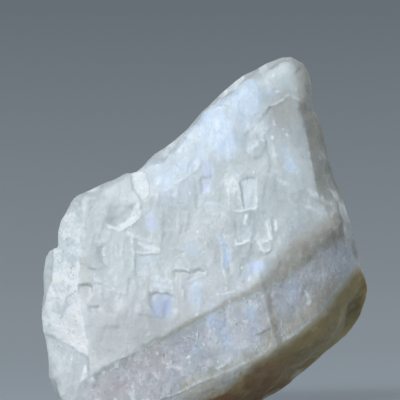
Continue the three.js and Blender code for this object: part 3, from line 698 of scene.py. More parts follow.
for u, v, ru, rv, am in [(231, 357, 9, 5, 0.35), (262, 344, 7, 8, 0.25), (256, 304, 5, 7, 0.25), (128, 371, 14, 5, 0.30), (150, 380, 10, 5, 0.25), (176, 352, 10, 5, 0.2),
                         (170, 398, 16, 4, 0.2), (308, 292, 4, 6, 0.15), (288, 327, 8, 4, 0.25), (98, 376, 8, 5, 0.25), (320, 277, 6, 4, 0.25), (231, 183, 10, 10, 0.50), (257, 129, 11, 7, 0.35), (246, 170, 14, 6, 0.2), (334, 256, 6, 5, 0.3), (345, 262, 5, 8, 0.25), (338, 245, 7, 4, 0.25), (328, 268, 7, 5, 0.2),
                         (216, 340, 5, 12, 0.2), (232, 335, 4, 12, 0.25), (192, 370, 12, 6, 0.22), (244, 345, 8, 5, 0.25)]:
    spots = np.zeros(X.shape)
    blob(spots, u, v, ru, rv, 1.0, crisp=0.0, seed=int(u))
    frost_and_highlight += am * spots * np.clip(0.4 + 1.8 * noise(CU / 0.5, CV / 0.8, int(v)) + 0.9 * (grain2_c > 0.6), 0, 2)


def tint(a, u, v, ru, rv, amount, tilt=0.0):
    blob(a, u, v, ru, rv, amount, tilt=tilt, crisp=0.0, seed=int(3 * u + v))


# lighter and darker patches of tone; the darker ones on the underside, along the ledge, on the right side and in the
# hollow are painted shade
for u, v, ru, rv, am in [
    (87, 269, 6, 16, -0.07), (87, 291, 8, 9, -0.08), (118, 214, 13, 12, -0.05),
    (335, 262, 22, 22, 0.05), (285, 300, 18, 20, -0.08), (290, 112, 14, 14, -0.06), (118, 206, 18, 18, 0.11), (282, 75, 22, 18, 0.28), (248, 194, 8, 14, 0.02), (70, 300, 16, 44, 0.06), (300, 225, 22, 14, -0.04), (300, 84, 7, 18, 0.10), (50, 270, 7, 24, 0.06), (322, 262, 20, 14, -0.12), (354, 300, 10, 18, -0.22), (215, 393, 24, 9, 0.10), (207, 389, 26, 7, -0.16), (262, 386, 20, 12, -0.19), (290, 170, 14, 14, -0.06), (345, 250, 10, 14, -0.05), (298, 303, 14, 14, 0.08), (80, 343, 10, 10, 0.23), (322, 272, 18, 14, -0.06), (346, 312, 18, 14, -0.13), (338, 317, 18, 16, -0.15), (300, 350, 30, 10, -0.06), (331, 232, 10, 12, -0.10), (343, 222, 8, 14, -0.10), (315, 239, 12, 8, -0.06), (316, 299, 12, 16, -0.16), (300, 282, 10, 12, -0.10), (331, 301, 9, 11, -0.10), (300, 319, 9, 10, 0.06), (285, 222, 9, 14, 0.12), (284, 248, 9, 8, 0.08), (285, 283, 8, 5, -0.08), (300, 247, 8, 6, -0.06), (300, 287, 7, 7, -0.10), (315, 260, 9, 7, -0.13), (315, 283, 8, 7, -0.09), (315, 309, 8, 8, -0.05), (330, 239, 9, 9, -0.11), (332, 263, 10, 9, 0.08), (330, 298, 8, 8, -0.08), (343, 211, 7, 8, -0.15), (342, 237, 7, 7, -0.09), (343, 216, 7, 12, -0.13), (330, 236, 9, 10, -0.10), (343, 313, 9, 12, -0.09), (316, 258, 8, 5, -0.05), (308, 284, 12, 7, -0.06), (205, 335, 12, 12, 0.05), (240, 195, 14, 16, 0.03),
    (145, 330, 42, 24, -0.13), (168, 166, 16, 10, -0.06), (163, 305, 12, 13, -0.14), (290, 170, 16, 22, 0.12), (270, 150, 24, 30, 0.05),
    (240, 322, 22, 20, 0.08), (125, 388, 44, 14, 0.04), (215, 388, 26, 12, 0.10), (186, 165, 14, 10, -0.12), (114, 221, 9, 7, -0.10), (100, 240, 10, 16, 0.06),
]:
    tint(tone, u, v, ru, rv, am)
# painted warm shade on the bevel, along the ledge, on the left side and below the lip
for u, v, ru, rv, am in [(210, 389, 28, 8, 0.85), (316, 259, 9, 6, 0.35), (331, 245, 9, 6, 0.35), (343, 240, 6, 6, 0.30), (318, 300, 14, 12, 0.20), (190, 396, 20, 5, 0.25), (87, 268, 6, 18, 0.45), (87, 291, 8, 9, 0.25), (285, 115, 12, 14, 0.25)]:
    tint(warm_shade_glow, u, v, ru, rv, am)

# ---------------------------------------------------------------------------------------------- the back, mapped the same way
back = 0.25 * fbm(X / 14, Z / 14, 31, 2) + 0.05 * fbm(X / 3.4, Z / 3.4, 32, 3)
BL1 = PL((395, 300), (330, 262), (296, 268), (262, 236), (228, 240), (190, 214), (150, 222), (120, 196), (60, 190))
BL2 = PL((300, 30), (284, 90), (262, 118), (266, 150), (240, 186), (236, 214))
BL3 = PL((40, 300), (86, 312), (110, 300), (150, 322), (176, 318), (214, 350), (228, 384), (236, 440))
d1, t1 = line(BL1, WX, WZ)
d2_, t2 = line(BL2, WX, WZ)
d3, t3 = line(BL3, WX, WZ)
back += 1.4 * sm(-0.15, 0.45, d1) * np.exp(-np.maximum(d1, 0) / 14) * (0.6 + 0.4 * sm(0.1, 0.5, t1))
back += 0.9 * sm(-0.1, 0.35, d2_) * np.exp(-np.maximum(d2_, 0) / 9)
back += 1.0 * sm(-0.1, 0.4, d3) * np.exp(-np.maximum(d3, 0) / 12)
hack = sm(-0.15, 0.25, fbm(X / 9 + 5, Z / 9, 144, 2))
BX = X * math.cos(0.14) + Z * math.sin(0.14) + 0.10 * fbm(X / 2.0, Z / 2.0, 161, 2)
BZ = Z * math.cos(0.06) - X * math.sin(0.06) + 0.10 * fbm(X / 2.0, Z / 2.0, 162, 2)
kb, kc, kh = facets(BX / 9.0 + 3.3, BZ / 13.0 + 0.7, 141, 0.40, 0.30)
kb2, kc2, kh2 = facets(BX / 4.0 + 1.3, BZ / 6.2 + 0.2, 142, 0.20, 0.22)
kb3, kc3, kh3 = facets(BX / 1.7 + 0.3, BZ / 2.6 + 0.6, 143, 0.07, 0.10)
back += kh + (0.35 + 0.65 * hack) * kh2 + hack * kh3
BU = BX + 1.0 * fbm(X / 12, Z / 12, 181, 2)
BV = BZ + 1.0 * fbm(X / 12, Z / 12, 182, 2)
back += 3.6 * chisel(BU / 8.5 + 0.25 * BV / 8.5 + 0.4, BV / 10.5 - 0.30 * BU / 10.5, 173)
back += (0.5 + 0.5 * hack) * 1.25 * chisel(BU / 3.7 - 0.20 * BV / 3.7, BV / 4.6 + 0.25 * BU / 4.6 + 0.3, 174)
back += hack * 0.40 * chisel(BU / 1.6 + 0.3 * BV / 1.6, BV / 2.1, 177)
hb = -back
scatter(hb, 300, (-31, 30, 2, 66), ((0.9, 3.6), (1.0, 5.5)), (0.03, 0.10), np.ones(X.shape), 111, ang=(2, 9))
scatter(hb, 60, (-30, 30, 2, 66), ((3.0, 9.0), (3.0, 11.0)), (0.10, 0.40), np.ones(X.shape), 112, ang=(2, 9))
bx, bz = 7.0, 52.0                       # a shell-shaped scar on the back as well
rb = np.hypot((WX - bx) / 6.0, (WZ - bz) / 4.6) + 0.12 * noise(X / 3.5, Z / 3.5, 146) + 0.03 * noise(X / 1.0, Z / 1.0, 147)
hb -= 0.6 * np.clip(1 - rb * rb, 0, 1) ** 0.8 * (0.4 + 0.6 * sm(-4, 4, WZ - bz)) + 0.03 * np.sin(rb * 16) * sm(1.05, 0.9, rb)
back = soften(-hb, 2)
back_frost = np.clip(0.45 * np.exp(-(d1 / 0.45) ** 2) + 0.35 * np.exp(-(d2_ / 0.3) ** 2) + 0.35 * np.exp(-(d3 / 0.35) ** 2), 0, 1)
back_frost *= np.clip(0.6 + 1.6 * noise(X / 1.3, Z / 1.3, 95), 0, 1)
back_frost += 0.25 * sm(0.05, 0.0, kb) * sm(-0.1, 0.4, noise(X / 3, Z / 3, 145)) + 0.22 * (kc2 > 0.78) * hack + 0.10 * (kc > 0.7)
back_frost += 0.5 * sm(0.90, 1.0, rb) * sm(1.10, 1.02, rb) * sm(-0.4, 0.5, (bz - WZ) / 4) * (noise(X / 1.3, Z / 1.3, 148) > 0)
back_tone = 1.04 + 0.14 * (kc - 0.5) + 0.14 * (kc2 - 0.5) + 0.07 * (kc3 - 0.5) * hack - 0.10 * sm(0.05, 0.0, kb) * (kc2 > 0.5)
back_sheen = np.clip(0.45 * sm(0.05, 0.6, fbm(CU / 5.0 + 3, CV / 8.0, 96, 2)) + 0.12 * (cc > 0.8), 0, 1.2)
back_violet = back_sheen * sm(-0.2, 0.4, noise(X / 6, Z / 6, 97))
back_rind = sm(0.05, 0.6, fbm(X / 12, Z / 12, 98, 3) + 0.030 * (16 - Z) + 0.018 * (X - 4))
back_grain = np.clip(sm(0.1, 0.5, fbm(X / 5, Z / 5, 99, 3)) * 0.8 + back_frost, 0, 1)
back += back_grain * (0.26 * (grain_c - 0.5) + 0.12 * (grain2_c - 0.5))

# ------------------------------------------------------------------------------------- the rim, mapped over arc length and depth
D2, ARC, PERIM = ring(OUTLINE, X, Z)
ga = np.arange(0, PERIM + G, G)
gw = np.arange(-20.0, 21.0, G)
RA, RW = np.meshgrid(ga, gw, indexing="ij")
RAw = RA + 0.12 * fbm(RA / 2.5, RW / 2.5, 41, 3) + 0.10 * RW
RWw = RW + 0.12 * fbm(RA / 2.5, RW / 2.5 + 30, 42, 3)
rim_in = 0.30 * fbm(RA / 9, RW / 9, 43, 2) + 0.06 * fbm(RA / 3, RW / 3, 44, 3)
re1, rc1, rh1 = facets(RAw / 5.2, RWw / 9.0, 45, 0.24, 0.25)
re2, rc2, rh2 = facets(RAw / 2.2, RWw / 3.8, 46, 0.10, 0.16)
re3, rc3, rh3 = facets(RAw / 0.95, RWw / 1.4, 47, 0.07, 0.12)
rim_in += rh1 + rh2 + rh3 * sm(-0.2, 0.3, noise(RA / 6, RW / 6, 149))
rim_in += 2.5 * chisel(RAw / 6.2 + 0.3 * RWw / 6.2, RWw / 7.5 - 0.2 * RAw / 7.5, 171) + 0.95 * chisel(RAw / 2.7 - 0.25 * RWw / 2.7, RWw / 3.3 + 0.2 * RAw / 3.3, 172)
rim_in += 0.32 * chisel(RAw / 1.3 + 0.3 * RWw / 1.3, RWw / 1.6, 178)
rim_in += 0.55
rim_in = soften(np.where(rim_in < 0, -0.30 * (1 - np.exp(rim_in / 0.30)), rim_in), 2)
rim_tone = 1.0 + 0.10 * (rc1 - 0.5) + 0.10 * (rc2 - 0.5) + 0.06 * (rc3 - 0.5)
rim_frost = np.clip(0.75 * (rc1 > 0.72) * sm(-0.3, 0.3, noise(RA / 2, RW / 2, 48)) + 0.35 * (rc2 > 0.75) + sm(0.10, 0.0, re1) * 0.15, 0, 1)
rim_sheen = np.clip(0.35 * sm(0.1, 0.6, fbm(RA / 6, RW / 5, 49, 2)) + 0.1 * (rc2 < 0.2), 0, 1)
rim_rind = sm(0.1, 0.6, fbm(RA / 9, RW / 7, 50, 3) + 0.1)


SW, SZ = np.meshgrid(gw, gz, indexing="ij")
_, _, sh1 = facets(SW / 6.0 + 0.4, SZ / 8.5 + 0.2, 151, 0.30, 0.25)
_, _, sh2 = facets(SW / 2.4 + 0.7, SZ / 3.6 + 0.5, 152, 0.12, 0.14)
side_in = soften(2.1 * chisel(SW / 6.0 + 0.3 * SZ / 6.0, SZ / 7.4 - 0.2 * SW / 7.4, 175) + 0.7 * chisel(SW / 2.5 - 0.25 * SZ / 2.5, SZ / 3.2, 176) + sh1 + sh2 - 0.40 + 0.10 * fbm(SW / 1.2, SZ / 1.2, 153, 2), 2)


def sample2(a, ox, oy, x, y):
    """Bilinear look-up of a map with step G."""
    i = np.clip((x - ox) / G, 0, a.shape[0] - 1.001)
    j = np.clip((y - oy) / G, 0, a.shape[1] - 1.001)
    i0, j0 = i.astype(np.int64), j.astype(np.int64)
    fi, fj = i - i0, j - j0
    return ((a[i0, j0] * (1 - fi) + a[i0 + 1, j0] * fi) * (1 - fj) + (a[i0, j0 + 1] * (1 - fi) + a[i0 + 1, j0 + 1] * fi) * fj)


def rim_at(x, z):
    th = np.degrees(np.arctan2(z - 31.0, x + 1.0))
    th = np.where(th < RIM[0, 0], th + 360, th)
    tab = np.vstack([RIM, RIM[0] + [360, 0, 0, 0, 0]])
    k = np.clip(np.searchsorted(tab[:, 0], th, side="right") - 1, 0, len(tab) - 2)
    t = sm(0, 1, (th - tab[k, 0]) / (tab[k + 1, 0] - tab[k, 0]))
    return [tab[k, c] + (tab[k + 1, c] - tab[k, c]) * t for c in (1, 2, 3, 4)]


# at the lower right, the show face is kept in front of the stone's outermost line
hmin = rim_at(X, Z)[0] + 1.6
hmin = np.where(D2 < 0.6, hmin, -40.0)
lower_right = sm(2, 8, X) * sm(36, 31, Z)
h = np.where(lower_right > 0, h + lower_right * (smax(h, hmin, 3.0) - h), h)


def build_field(step):
    xs = np.arange(-33.6, 33.6, step)
    zs = np.arange(FOOT_Z - 2.5 * step, 72.6, step)
    ws = np.arange(-17.4, 19.4, step)
    x2, z2 = np.meshgrid(xs, zs, indexing="ij")
    hf = sample2(h, gx[0], gz[0], x2, z2)
    hx = np.gradient(hf, step, axis=0)
    hz = np.gradient(hf, step, axis=1)
    scale = 1.0 / np.sqrt(1 + np.minimum(hx * hx + hz * hz, 9.0))
    bk = sample2(back, gx[0], gz[0], x2, z2)
    d2 = sample2(D2, gx[0], gz[0], x2, z2)
    arc = ARC[np.clip(((x2 - gx[0]) / G).round().astype(int), 0, len(gx) - 1), np.clip(((z2 - gz[0]) / G).round().astype(int), 0, len(gz) - 1)]
    d2 = d2 - 0.5 * sm(9.0, 15.0, x2) * sm(30.0, 24.0, z2)
    wsil, af, ab, kk = rim_at(x2, z2)
    w = ws[None, None, :].astype(np.float32)
    f32 = lambda a: a.astype(np.float32)[:, :, None]
    dw = w - f32(wsil)
    rim = f32(d2) + np.where(dw > 0, f32(af), f32(ab)) * (np.sqrt(dw * dw + 9) - 3)
    ia = np.clip((arc / G).round().astype(int), 0, len(ga) - 1)
    iw = np.clip(((ws - gw[0]) / G).round().astype(int), 0, len(gw) - 1)
    rim += rim_in.astype(np.float32)[ia][:, :, iw] * sm(1.0, 3.5, np.abs(dw)).astype(np.float32) * 1.0 + 0.0
    si, sj = np.meshgrid(zs, ws, indexing="ij")
    side = sample2(side_in, gw[0], gz[0], sj, si)[None, :, :]
    u2 = sample2(soften(under, 3), gx[0], gz[0], x2, z2)
    face = (w - f32(hf)) * f32(scale) + 0.45 * f32(u2) * side.astype(np.float32)
    f = smax(face, rim, f32(kk))
    del face, rim
    n0 = math.sqrt(1 + 0.05 ** 2 + 0.055 ** 2)
    bf = (f32(-14.6 + 0.05 * x2 + 0.055 * (z2 - 35)) - w) / n0
    for n, p in BREAKS:
        l = math.sqrt(sum(c * c for c in n))
        b = (f32((x2 - p[0]) * n[0] + (z2 - p[2]) * n[2]) + (w - p[1]) * n[1]) / l
        b = b + abs(n[0]) * side.astype(np.float32)
        bf = smax(bf, b.astype(np.float32), 0.7)
    bf += f32(bk * (0.30 + 0.70 * sm(-1.0, -5.5, d2)))
    f = smax(f, bf, 0.8)
    del bf
    f = np.maximum(f, (FOOT_Z - zs)[None, :, None].astype(np.float32))
    return xs, zs, ws, f          # order of axes: x, z, w


def surface_nets(f, xs, zs, ws, step):
    neg = f < 0
    c = neg.astype(np.int8)
    s = (c[:-1, :-1, :-1] + c[1:, :-1, :-1] + c[:-1, 1:, :-1] + c[1:, 1:, :-1]
         + c[:-1, :-1, 1:] + c[1:, :-1, 1:] + c[:-1, 1:, 1:] + c[1:, 1:, 1:])
    act = (s > 0) & (s < 8)
    ia, ja, ka = np.nonzero(act)
    index = np.full(act.shape, -1, np.int64)
    index[ia, ja, ka] = np.arange(len(ia))
    corners = [(a, b, d) for a in (0, 1) for b in (0, 1) for d in (0, 1)]
    val = {cc_: f[ia + cc_[0], ja + cc_[1], ka + cc_[2]].astype(np.float64) for cc_ in corners}
    acc = np.zeros((len(ia), 3))
    cnt = np.zeros(len(ia))
    for a in corners:
        for ax in range(3):
            if a[ax] == 1:
                continue
            b = list(a)
            b[ax] = 1
            b = tuple(b)
            va, vb = val[a], val[b]
            m = (va < 0) != (vb < 0)
            t = np.where(m, va / np.where(m, va - vb, 1.0), 0.0)
            for q in range(3):
                acc[:, q] += np.where(m, a[q] + (t if q == ax else 0.0), 0.0)
            cnt += m
    acc /= cnt[:, None]
    v = np.stack([xs[0] + (ia + acc[:, 0]) * step, ws[0] + (ka + acc[:, 2]) * step, zs[0] + (ja + acc[:, 1]) * step], 1)
    quads = []
    for ax in range(3):
        sl0 = [slice(None)] * 3
        sl1 = [slice(None)] * 3
        sl0[ax] = slice(0, -1)
        sl1[ax] = slice(1, None)
        a, b = neg[tuple(sl0)], neg[tuple(sl1)]
        e = np.nonzero(a != b)
        e = np.array(e)
        o1, o2 = [(1, 2), (2, 0), (0, 1)][ax]
        ok = (e[o1] > 0) & (e[o2] > 0) & (e[o1] < f.shape[o1] - 1) & (e[o2] < f.shape[o2] - 1)
        e = e[:, ok]
        flip = a[tuple(e)]

        def at(d1_, d2__):
            g = e.copy()
            g[o1] -= d1_
            g[o2] -= d2__
            return index[tuple(g)]
        q = np.stack([at(1, 1), at(0, 1), at(0, 0), at(1, 0)], 1)
        q[~flip] = q[~flip][:, ::-1]
        quads.append(q)
    return v, np.concatenate(quads)


xs, zs, ws, F = build_field(STEP)
V, Q = surface_nets(F, xs, zs, ws, STEP)
del F
print("surface", len(V), "points", len(Q), "quads", round(time.time() - T0, 1), "s")

# to the frame: x - shift, y = -(w - shift), z - foot. The axes x, z, w are left-handed against x, y, z, checked by volume below.
verts = np.stack([V[:, 0] - SHIFT[0], -(V[:, 1] - SHIFT[1]), V[:, 2] - FOOT_Z], 1) * 0.001
tri = np.concatenate([Q[:, [0, 1, 2]], Q[:, [0, 2, 3]]])
vol = np.einsum("ij,ij->i", verts[tri[:, 0]], np.cross(verts[tri[:, 1]], verts[tri[:, 2]])).sum() / 6
if vol < 0:
    Q = Q[:, ::-1]
print("volume", round(abs(vol) * 1e6, 2), "cm3")

me = bpy.data.meshes.new("moonstone_surface")
me.vertices.add(len(verts))
me.vertices.foreach_set("co", verts.astype(np.float32).ravel())
me.loops.add(Q.size)
me.loops.foreach_set("vertex_index", Q.astype(np.int32).ravel())
me.polygons.add(len(Q))
me.polygons.foreach_set("loop_start", np.arange(0, Q.size, 4, dtype=np.int32))
me.polygons.foreach_set("loop_total", np.full(len(Q), 4, np.int32))
me.update(calc_edges=True)
me.validate()
stone = bpy.data.objects.new("moonstone_stone", me)
bpy.context.scene.collection.objects.link(stone)

# thin the flat places so that the piece stays under its limit
tris_now = len(Q) * 2
if tris_now > FACES:
    fx, fw, fz = V[:, 0], V[:, 1], V[:, 2]
    near = np.abs(fw - sample2(h, gx[0], gz[0], fx, fz)) < 0.6
    det = np.zeros(X.shape)
    for a_, k_ in ((h, 0.9), (frost_and_highlight, 1.0), (dark, 1.2), (sheen, 0.8), (warm_shade_glow, 0.4), (under, 0.4)):
        b_ = soften(a_, 1)
        g_ = np.hypot(np.gradient(b_, axis=0), np.gradient(b_, axis=1)) if a_ is not h else np.abs(np.gradient(np.gradient(b_, axis=0), axis=0)) * 6 + np.abs(np.gradient(np.gradient(b_, axis=1), axis=1)) * 6
        det += k_ * g_
    det = sample2(soften(det, 2), gx[0], gz[0], fx, fz)
    lock = near & (det > np.quantile(det[near], 0.42))
    vg = stone.vertex_groups.new(name="thin")
    vg.add(np.nonzero(~near)[0].tolist(), 1.0, "REPLACE")
    vg.add(np.nonzero(near & ~lock)[0].tolist(), 0.97, "REPLACE")
    vg.add(np.nonzero(lock)[0].tolist(), 0.0, "REPLACE")
    dec = stone.modifiers.new("thin", "DECIMATE")
    dec.decimate_type = "COLLAPSE"
    dec.ratio = FACES / tris_now
    dec.vertex_group = "thin"
    dec.vertex_group_factor = 0.004
    dec.use_collapse_triangulate = True
    deps = bpy.context.evaluated_depsgraph_get()
    new = bpy.data.meshes.new_from_object(stone.evaluated_get(deps))
    stone.modifiers.clear()
    stone.vertex_groups.clear()
    old = stone.data
    stone.data = new
    bpy.data.meshes.remove(old)
    me = stone.data
    me.name = "moonstone_surface"
    # every edge joins two faces: the few tiny edges that thinning leaves pinched are closed up
    bm = bmesh.new()
    bm.from_mesh(me)
    bmesh.ops.remove_doubles(bm, verts=bm.verts, dist=1e-7)
    for _ in range(6):
        pinched = [e for e in bm.edges if len(e.link_faces) != 2]
        if not pinched:
            break
        bmesh.ops.collapse(bm, edges=pinched)
    print("pinched edges left", len([e for e in bm.edges if len(e.link_faces) != 2]))
    bm.to_mesh(me)
    bm.free()
print("kept", len(me.vertices), "points", len(me.polygons), "faces", round(time.time() - T0, 1), "s")

# ---------------------------------------------------------------------------------------------- what each point is made of
n = len(me.vertices)
co = np.empty(n * 3, np.float32)
me.vertices.foreach_get("co", co)
co = co.reshape(-1, 3).astype(np.float64) * 1000
vx, vw, vz = co[:, 0] + SHIFT[0], -co[:, 1] + SHIFT[1], co[:, 2] + FOOT_Z
nor = np.empty(n * 3, np.float32)
me.vertices.foreach_get("normal", nor)
nor = nor.reshape(-1, 3)
nw = -nor[:, 1]
hf = sample2(h, gx[0], gz[0], vx, vz)
is_front = sm(1.6, 0.5, np.abs(vw - hf)) * sm(-0.1, 0.15, nw)
is_back = sm(0.15, 0.45, -nw) * (1 - is_front)
is_rim = 1 - is_front - is_back
vd = sample2(D2, gx[0], gz[0], vx, vz)
va = ARC[np.clip(((vx - gx[0]) / G).round().astype(int), 0, len(gx) - 1), np.clip(((vz - gz[0]) / G).round().astype(int), 0, len(gz) - 1)]


def blend3(front_map, back_map, rim_map):
    return (is_front * sample2(front_map, gx[0], gz[0], vx, vz) + is_back * sample2(back_map, gx[0], gz[0], vx, vz)
            + is_rim * sample2(rim_map, 0.0, gw[0], va, vw))


a_frost_and_highlight = blend3(frost_and_highlight, back_frost, rim_frost)
a_dark = is_front * sample2(dark, gx[0], gz[0], vx, vz)
a_sheen = blend3(sheen, back_sheen, rim_sheen)
a_violet = blend3(violet, back_violet, rim_sheen * 0.3)
a_warm_shade_glow = is_front * sample2(warm_shade_glow, gx[0], gz[0], vx, vz)
front_ish = sm(-0.15, 0.10, nw)
# painted shade: a dark thin line along the upper right outline, where a further face is seen edge on
a_dark = a_dark + 1.1 * sm(-1.0, -0.25, vd) * sm(60.0, 57.5, vz) * sm(41.0, 45.0, vz) * (vx > 0) * front_ish
# painted warm shade down the right side of the knob
ox_, oz_ = P(318, 119)
a_warm_shade_glow = a_warm_shade_glow + 0.8 * np.exp(-((vx - ox_) / 1.1) ** 2 - ((vz - oz_) / 3.8) ** 2) * front_ish
# the olive-brown skin and painted shade cover the underside, and reach round to the lower back and the right side,
# darker where the surface faces down
e_ = 0.6
gx_ = sample2(D2, gx[0], gz[0], vx + e_, vz) - sample2(D2, gx[0], gz[0], vx - e_, vz)
gz_ = sample2(D2, gx[0], gz[0], vx, vz + e_) - sample2(D2, gx[0], gz[0], vx, vz - e_)
gl_ = np.hypot(gx_, gz_) + 1e-6
patchy = fbm(vx / 7 + 3, (vz + vw) / 7, 120, 3) + 0.5 * fbm((vx - vw) / 1.8, (vz + vw) / 1.8, 121, 3)


def even(size, seed):
    """Noise that isn't drawn out on any side of the stone."""
    return 0.62 * (fbm(vx / size, vz / size, seed, 3) + fbm(vw / size + 9, vz / size + 4, seed + 1, 3) + fbm(vx / size + 5, vw / size, seed + 2, 3))


patchy = is_front * patchy + (1 - is_front) * (even(8.0, 191) + 0.5 * even(2.2, 194))
side_skin_shade = sm(0.25, 1.15, (-gz_ * 0.9 + gx_ * 0.35) / gl_ + 0.60 * patchy + 0.045 * (vw + 2)) * sm(35, 17, vz + 9 * patchy)
side_skin_shade *= sm(-16.0, -5.0, vx + 5 * patchy)
side_skin_shade *= np.where(is_back > 0.5, sm(-4.5, -0.5, vd + 4 * patchy), 1.0)
patch2 = is_front * fbm(vx / 2.4 + 3, (vz + 0.8 * vw) / 2.4, 123, 3) + (1 - is_front) * even(2.6, 197)
fade = (1 - 0.85 * sm(-2.5, -7.5, vw + 6 * patchy) * sm(13, 23, vz + 4 * patch2)) * (1 - 0.35 * sm(1, -5, vw + 5 * patch2))
a_rind_shade = np.clip(np.maximum(is_front * sample2(rind_shade_front, gx[0], gz[0], vx, vz),
                            (1 - is_front) * (side_skin_shade + 0.05 * is_back * sample2(back_rind, gx[0], gz[0], vx, vz)
                                              + 0.04 * is_rim * sample2(rim_rind, 0.0, gw[0], va, vw))), 0, 1)
a_neutral = is_front * sample2(neutral, gx[0], gz[0], vx, vz) + (1 - is_front) * 0.35
busy[calm < 0.5] *= 0.8
a_busy = is_front * sample2(busy, gx[0], gz[0], vx, vz) + (1 - is_front) * 0.8
a_tone = blend3(tone, back_tone, rim_tone)
a_lilac = is_front * sample2(lilac, gx[0], gz[0], vx, vz) + (1 - is_front) * 0.15
# painted shade: the right facet, and rim faces turned to the right, darker
a_facet_shade = is_front * sample2(facet_shade, gx[0], gz[0], vx, vz) + is_rim * sm(0.2, 0.8, nor[:, 0]) * 0.85 * sm(-9.0, 0.5, vw + 2 * patchy) * sm(36.0, 46.0, vz + 3 * patchy)
for name, val in [("frost_and_highlight", a_frost_and_highlight), ("dark", a_dark), ("sheen", a_sheen), ("violet", a_violet), ("warm_shade_glow", a_warm_shade_glow),
                  ("rind_shade", a_rind_shade), ("facet_shade", a_facet_shade), ("neutral", a_neutral), ("tone", a_tone), ("busy", a_busy), ("lilac", a_lilac)]:
    if name == "rind_shade":
        val = val * fade * np.clip(0.95 + 0.45 * patch2, 0.3, 1.3)
        val = val * (1 - 0.80 * sm(0.02, 0.30, patch2 + 0.5 * patchy) * sm(-2.5, -7.0, vw))
        val = val - 0.16 * sm(0.0, 0.3, val) * (patchy > 0.12) * sm(-2.0, -6.0, vw)
    at = me.attributes.new(name, "FLOAT", "POINT")
    at.data.foreach_set("value", np.clip(val, 0, 2.0).astype(np.float32))

me.shade_smooth()
me.set_sharp_from_angle(angle=math.radians(50))


